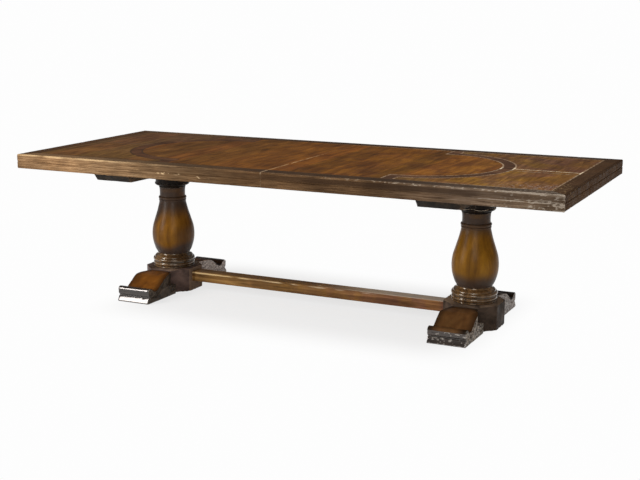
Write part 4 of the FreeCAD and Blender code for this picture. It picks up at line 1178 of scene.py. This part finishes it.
def stretcher(seed):
    node = "stretcher"
    low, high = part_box(node)
    corners = [(low.y, low.z), (high.y, low.z), (high.y, high.z), (low.y, high.z)]
    loop = rounded([(a, b, STRETCHER_ROUND) for a, b in corners], MEDIUM)
    rings = np.array([np.insert(loop, 0, x, axis=1) for x in spaced(low.x, high.x, COARSE)])
    piece = piece_of(node + "_beam", *skin(rings), node, "frame_wood", ["stretcher"], 30)
    places = rings.reshape(-1, 3)
    down = high.z - places[:, Z]
    top, front = step(down, *STRETCHER_TOP), step(places[:, Y] - low.y, *STRETCHER_FRONT)
    mean, varies = STRETCHER_VARIES
    # The worn line along the front arris is also a painted highlight, strongest on the left
    line = step(down, *STRETCHER_LINE_TOP) * step(down, *STRETCHER_LINE_FOOT) * front
    line *= mean + varies * noise(places, STRETCHER_PATCH, seed + 5)
    # The top's pale wear on the right is a painted reflection; the top is darker on the left
    wear_and_highlight = line * along(places, STRETCHER_LINE_WEAR_AND_HIGHLIGHT) + top * along(places, STRETCHER_TOP_REFLECTION)
    grime_and_shade = top * (1 - front) * along(places, STRETCHER_TOP_DARKENING)
    weather(piece, "stretcher", X, seed, edges=STRETCHER_EDGES, wear_and_highlight=wear_and_highlight, grime_and_shade=grime_and_shade)


def bearer(side, seed):
    """The cross-bearer under the top, thinner towards its bevelled tips."""
    node = side + "_bearer"
    low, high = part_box(node)
    thin = high.z - BEARER_TIP_DEPTH
    arch, heel = high.y - BEARER_TIP, high.y - BEARER_BEVEL
    outline = [
        (-BEARER_ROOT, low.z, 0), (BEARER_ROOT, low.z, -BEARER_HOLLOW), (arch, thin, 0), (heel, thin, 0),
        (high.y, high.z, 0), (low.y, high.z, 0), (-heel, thin, 0), (-arch, thin, -BEARER_HOLLOW),
    ]
    loop = bowed(outline, COARSE, closed=True)
    rings = [np.insert(inset(loop, depth), 0, x, axis=1) for x, depth in eased(low.x, high.x, 2 * COARSE)]
    piece = piece_of(node + "_beam", *skin(np.array(rings)), node, "frame_wood", ["bearer"], 30)
    weather(piece, "bearer", Y, seed)


def border_section(height):
    """The border's section: distance in from the outer face, height above the underside, corner rounding."""
    middle = height / 2
    back = BORDER_WIDTH + BORDER_LEDGE
    ledge = height - BORDER_TONGUE
    corners = [
        (back, 0, 0), (0, 0, LOWER_ROUND), (0, middle - REED_GROOVE_HALF, LIP_ROUND),
        (REED_GROOVE_DEPTH, middle, 0), (0, middle + REED_GROOVE_HALF, LIP_ROUND), (0, height, UPPER_ROUND),
        (BORDER_WIDTH, height, 0), (BORDER_WIDTH, ledge, 0), (back, ledge, 0),
    ]
    return rounded(corners, 2 * FINE)


def border_rings(side, end, low, high, section):
    """The border's section at stations along its edge, mitred to its neighbours at the table's corners."""
    out, up = section.T
    turn = 1 if side == "right" else -1
    along_x, along_y, level = cad_high.x - out, cad_high.y - out, low.z + up
    if end == "end":
        shares = spaced(-1, 1, COARSE / cad_high.y)
        return np.array([np.column_stack([turn * along_x, t * along_y, level]) for t in shares])
    facing = -1 if end == "front" else 1
    seam = low.x if turn > 0 else -high.x
    unit = COARSE / cad_high.x
    shares = np.concatenate([SEAM_STATIONS / cad_high.x, spaced(unit, 1, unit)])
    return np.array([np.column_stack([turn * (seam + t * (along_x - seam)), facing * along_y, level])
                     for t in shares])


def battered(places):
    """How knocked about the border is: most at the right front corner, less along the right half."""
    corner = np.array([cad_high.x, cad_low.y])
    away = np.linalg.norm(places[:, :2] - corner, axis=1)
    near, right = step(away, *HURT_CORNER_REACH), step(places[:, X], *HURT_RIGHT_REACH)
    return HURT_LEAST + HURT_CORNER * near + HURT_RIGHT * right


def chip_patches(places):
    """Patches low on the left front edge where pale wood shows in short dashes."""
    total = np.zeros(len(places))
    for middle, level, reach in CHIP_PATCHES:
        near = step(np.abs(places[:, X] - middle) / reach, *CHIP_PATCH_SHARES)
        total += near * step(np.abs(places[:, Z] - level), *CHIP_PATCH_HEIGHT)
    return total


def border_marks(end, places, inward, level, height, hurt, seed):
    """How bare and how dark the border is at each place, with a painted highlight on the front arris and
    painted shade on the upper reed and the end faces.
    """
    down, middle, off_seam = height - level, height / 2, np.abs(places[:, X])
    arris = step(down, *ARRIS_REACH) * step(inward, *ARRIS_REACH)
    top = step(down, *TOP_DEPTH) * step(inward, *TOP_REACH)
    face = step(inward, *FACE_REACH) * (1 - arris)
    specks = (hurt - HURT_LEAST) * marks(places, seed, BORDER_SPECKS)
    patchy = PATCHY_VARIES[0] + PATCHY_VARIES[1] * noise(places, PATCHY_SIZE, seed + 9)
    if end != "front":
        # End borders: worn arris and specks; darker top and arris, painted shade on the end face
        wear_and_highlight = END_ARRIS_WEAR * arris * patchy + (SPECK_WEAR[0] + SPECK_WEAR[1] * top) * specks
        return wear_and_highlight, END_DARKENING * (top + arris) + END_FACE_SHADE * face
    upper = face * step(level, middle, middle + 2 * REED_GROOVE_HALF)
    lip = face * step(np.abs(level - middle + 2 * REED_GROOVE_HALF), *LIP_REACH)
    # The front arris: worn, with a painted highlight strongest at the left end
    wear_and_highlight = patchy * (arris * along(places, ARRIS_WEAR_AND_HIGHLIGHT) + lip * along(places, LIP_WEAR))
    wear_and_highlight += DASH_WEAR * face * marks(places, seed, BORDER_DASHES) * chip_patches(places)
    wear_and_highlight += (FRONT_SPECK_WEAR[0] + FRONT_SPECK_WEAR[1] * (top + arris)) * specks
    wear_and_highlight += marks(places, seed, BORDER_SCRAPES) * along(places, SCRAPE_WEAR)
    wear_and_highlight += (SEAM_WEAR[0] + SEAM_WEAR[1] * top) * step(off_seam, *SEAM_WORN)
    # Darker top face, kept off the seam; painted shade on the upper reed
    grime_and_shade = top * along(places, BORDER_TOP_DARKENING) * (1 - step(off_seam, *SEAM_CLEAN))
    return wear_and_highlight, grime_and_shade + upper * along(places, UPPER_REED_SHADE)


def border(side, end, seed):
    """A border length: its double reed swept along the edge, then worn."""
    node = f"{side}_{end}_border"
    low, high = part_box(node)
    height = high.z - low.z
    section = border_section(height)
    rings = border_rings(side, end, low, high, section)
    run, finish = (Y, "border_y") if end == "end" else (X, "border_x")
    piece = piece_of(node + "_moulding", *skin(rings), node, "border_wood", [finish], 50)
    places = rings.reshape(-1, 3)
    inward, level = (np.tile(part, len(rings)) for part in section.T)
    ends = np.ones(rings.shape[:2])
    ends[[0, -1]] = 0
    hurt = battered(places)
    free = step(BORDER_WIDTH - inward, *SEAT_REACH) * ends.ravel() * hurt
    wear_and_highlight, grime_and_shade = border_marks(end, places, inward, level, height, hurt, seed)
    weather(piece, "border", run, seed, free=free, edges=BORDER_EDGES + HURT_EDGES * (hurt - HURT_LEAST),
            creases=BORDER_CREASES[finish], grime_and_shade=grime_and_shade, wear_and_highlight=wear_and_highlight)


def build_pieces():
    """All finished pieces; each has a seed of its own for its wear."""
    form = make_foot_form()
    for k, side in enumerate(SIDES):
        seed = 100 * (k + 1)
        pedestal_turnings(side, seed)
        plan_block(side, seed + 30)
        bearer(side, seed + 35)
        for m, end in enumerate(ENDS):
            foot(side, end, form, seed + 40 + 5 * m)
            border(side, end, seed + 60 + 8 * m)
        border(side, "end", seed + 80)
    stretcher(300)


# Studio

def make_floor():
    """A white floor: seen as white, and keeping part of the table's soft shadow."""
    mesh = bpy.data.meshes.new("floor")
    level = cad_low.z - FLOOR_DROP
    corners = [(a * FLOOR_REACH, b * FLOOR_REACH, level) for a, b in ((-1, -1), (1, -1), (1, 1), (-1, 1))]
    mesh.from_pydata(corners, [], [range(4)])
    floor = link(bpy.data.objects.new("floor", mesh))
    g = Graph("white_floor")
    mesh.materials.append(g.material)
    g.tree.nodes.remove(g.shader)
    lit, white, path = (g.add(kind) for kind in ("BsdfDiffuse", "Emission", "LightPath"))
    lit.inputs["Color"].default_value = (FLOOR_GREY, FLOOR_GREY, FLOOR_GREY, 1)
    white.inputs["Color"].default_value = (FLOOR_WHITE, FLOOR_WHITE, FLOOR_WHITE, 1)
    length = g.step(g.math("ABSOLUTE", g.axis(X)), *SHADOW_LENGTH)
    width = g.step(g.math("ABSOLUTE", g.axis(Y)), *SHADOW_WIDTH)
    shown = g.math("MAXIMUM", path.outputs["Is Camera Ray"], path.outputs["Is Glossy Ray"])
    shown = g.math("MAXIMUM", shown, path.outputs["Is Transmission Ray"])
    seen = g.wire("MixShader", (g.times(length, width, SHADOW_SHARE), white.outputs[0], lit.outputs[0]))
    final = g.wire("MixShader", (shown, lit.outputs[0], seen))
    g.feed(g.tree.nodes["Material Output"].inputs["Surface"], final)


def make_world():
    """A dim studio, brighter overhead."""
    world = bpy.data.worlds.new("studio")
    scene.world = world
    world.use_nodes = True
    nodes, links = world.node_tree.nodes, world.node_tree.links
    coords, parts, ramp = (nodes.new("ShaderNode" + kind) for kind in ("TexCoord", "SeparateXYZ", "ValToRGB"))
    fill_ramp(ramp, [(place, (level, level, level, 1)) for place, level in STUDIO_LEVELS])
    links.new(coords.outputs["Generated"], parts.inputs[0])
    links.new(parts.outputs[Z], ramp.inputs[0])
    links.new(ramp.outputs[0], nodes["Background"].inputs["Color"])
    nodes["Background"].inputs["Strength"].default_value = 1


def make_lamps():
    for name, (place, target, width, height, power) in SOFTBOXES.items():
        lamp = bpy.data.lights.new(name, "AREA")
        lamp.shape = "RECTANGLE"
        lamp.size, lamp.size_y, lamp.energy = width, height, power
        item = link(bpy.data.objects.new(name, lamp))
        item.location = place
        item.rotation_euler = (Vector(target) - Vector(place)).to_track_quat("-Z", "Y").to_euler()


def make_camera():
    lens = bpy.data.cameras.new("camera")
    lens.lens = CAMERA_LENS
    camera = link(bpy.data.objects.new("camera", lens))
    camera.location = CAMERA_PLACE
    camera.rotation_euler = (CAMERA_TILT, 0, CAMERA_TURN)
    scene.camera = camera


make_camera()
make_floor()
make_world()
make_lamps()
finish_cad_nodes()
build_pieces()
scene.view_settings.view_transform = "Standard"

bpy.context.view_layer.update()
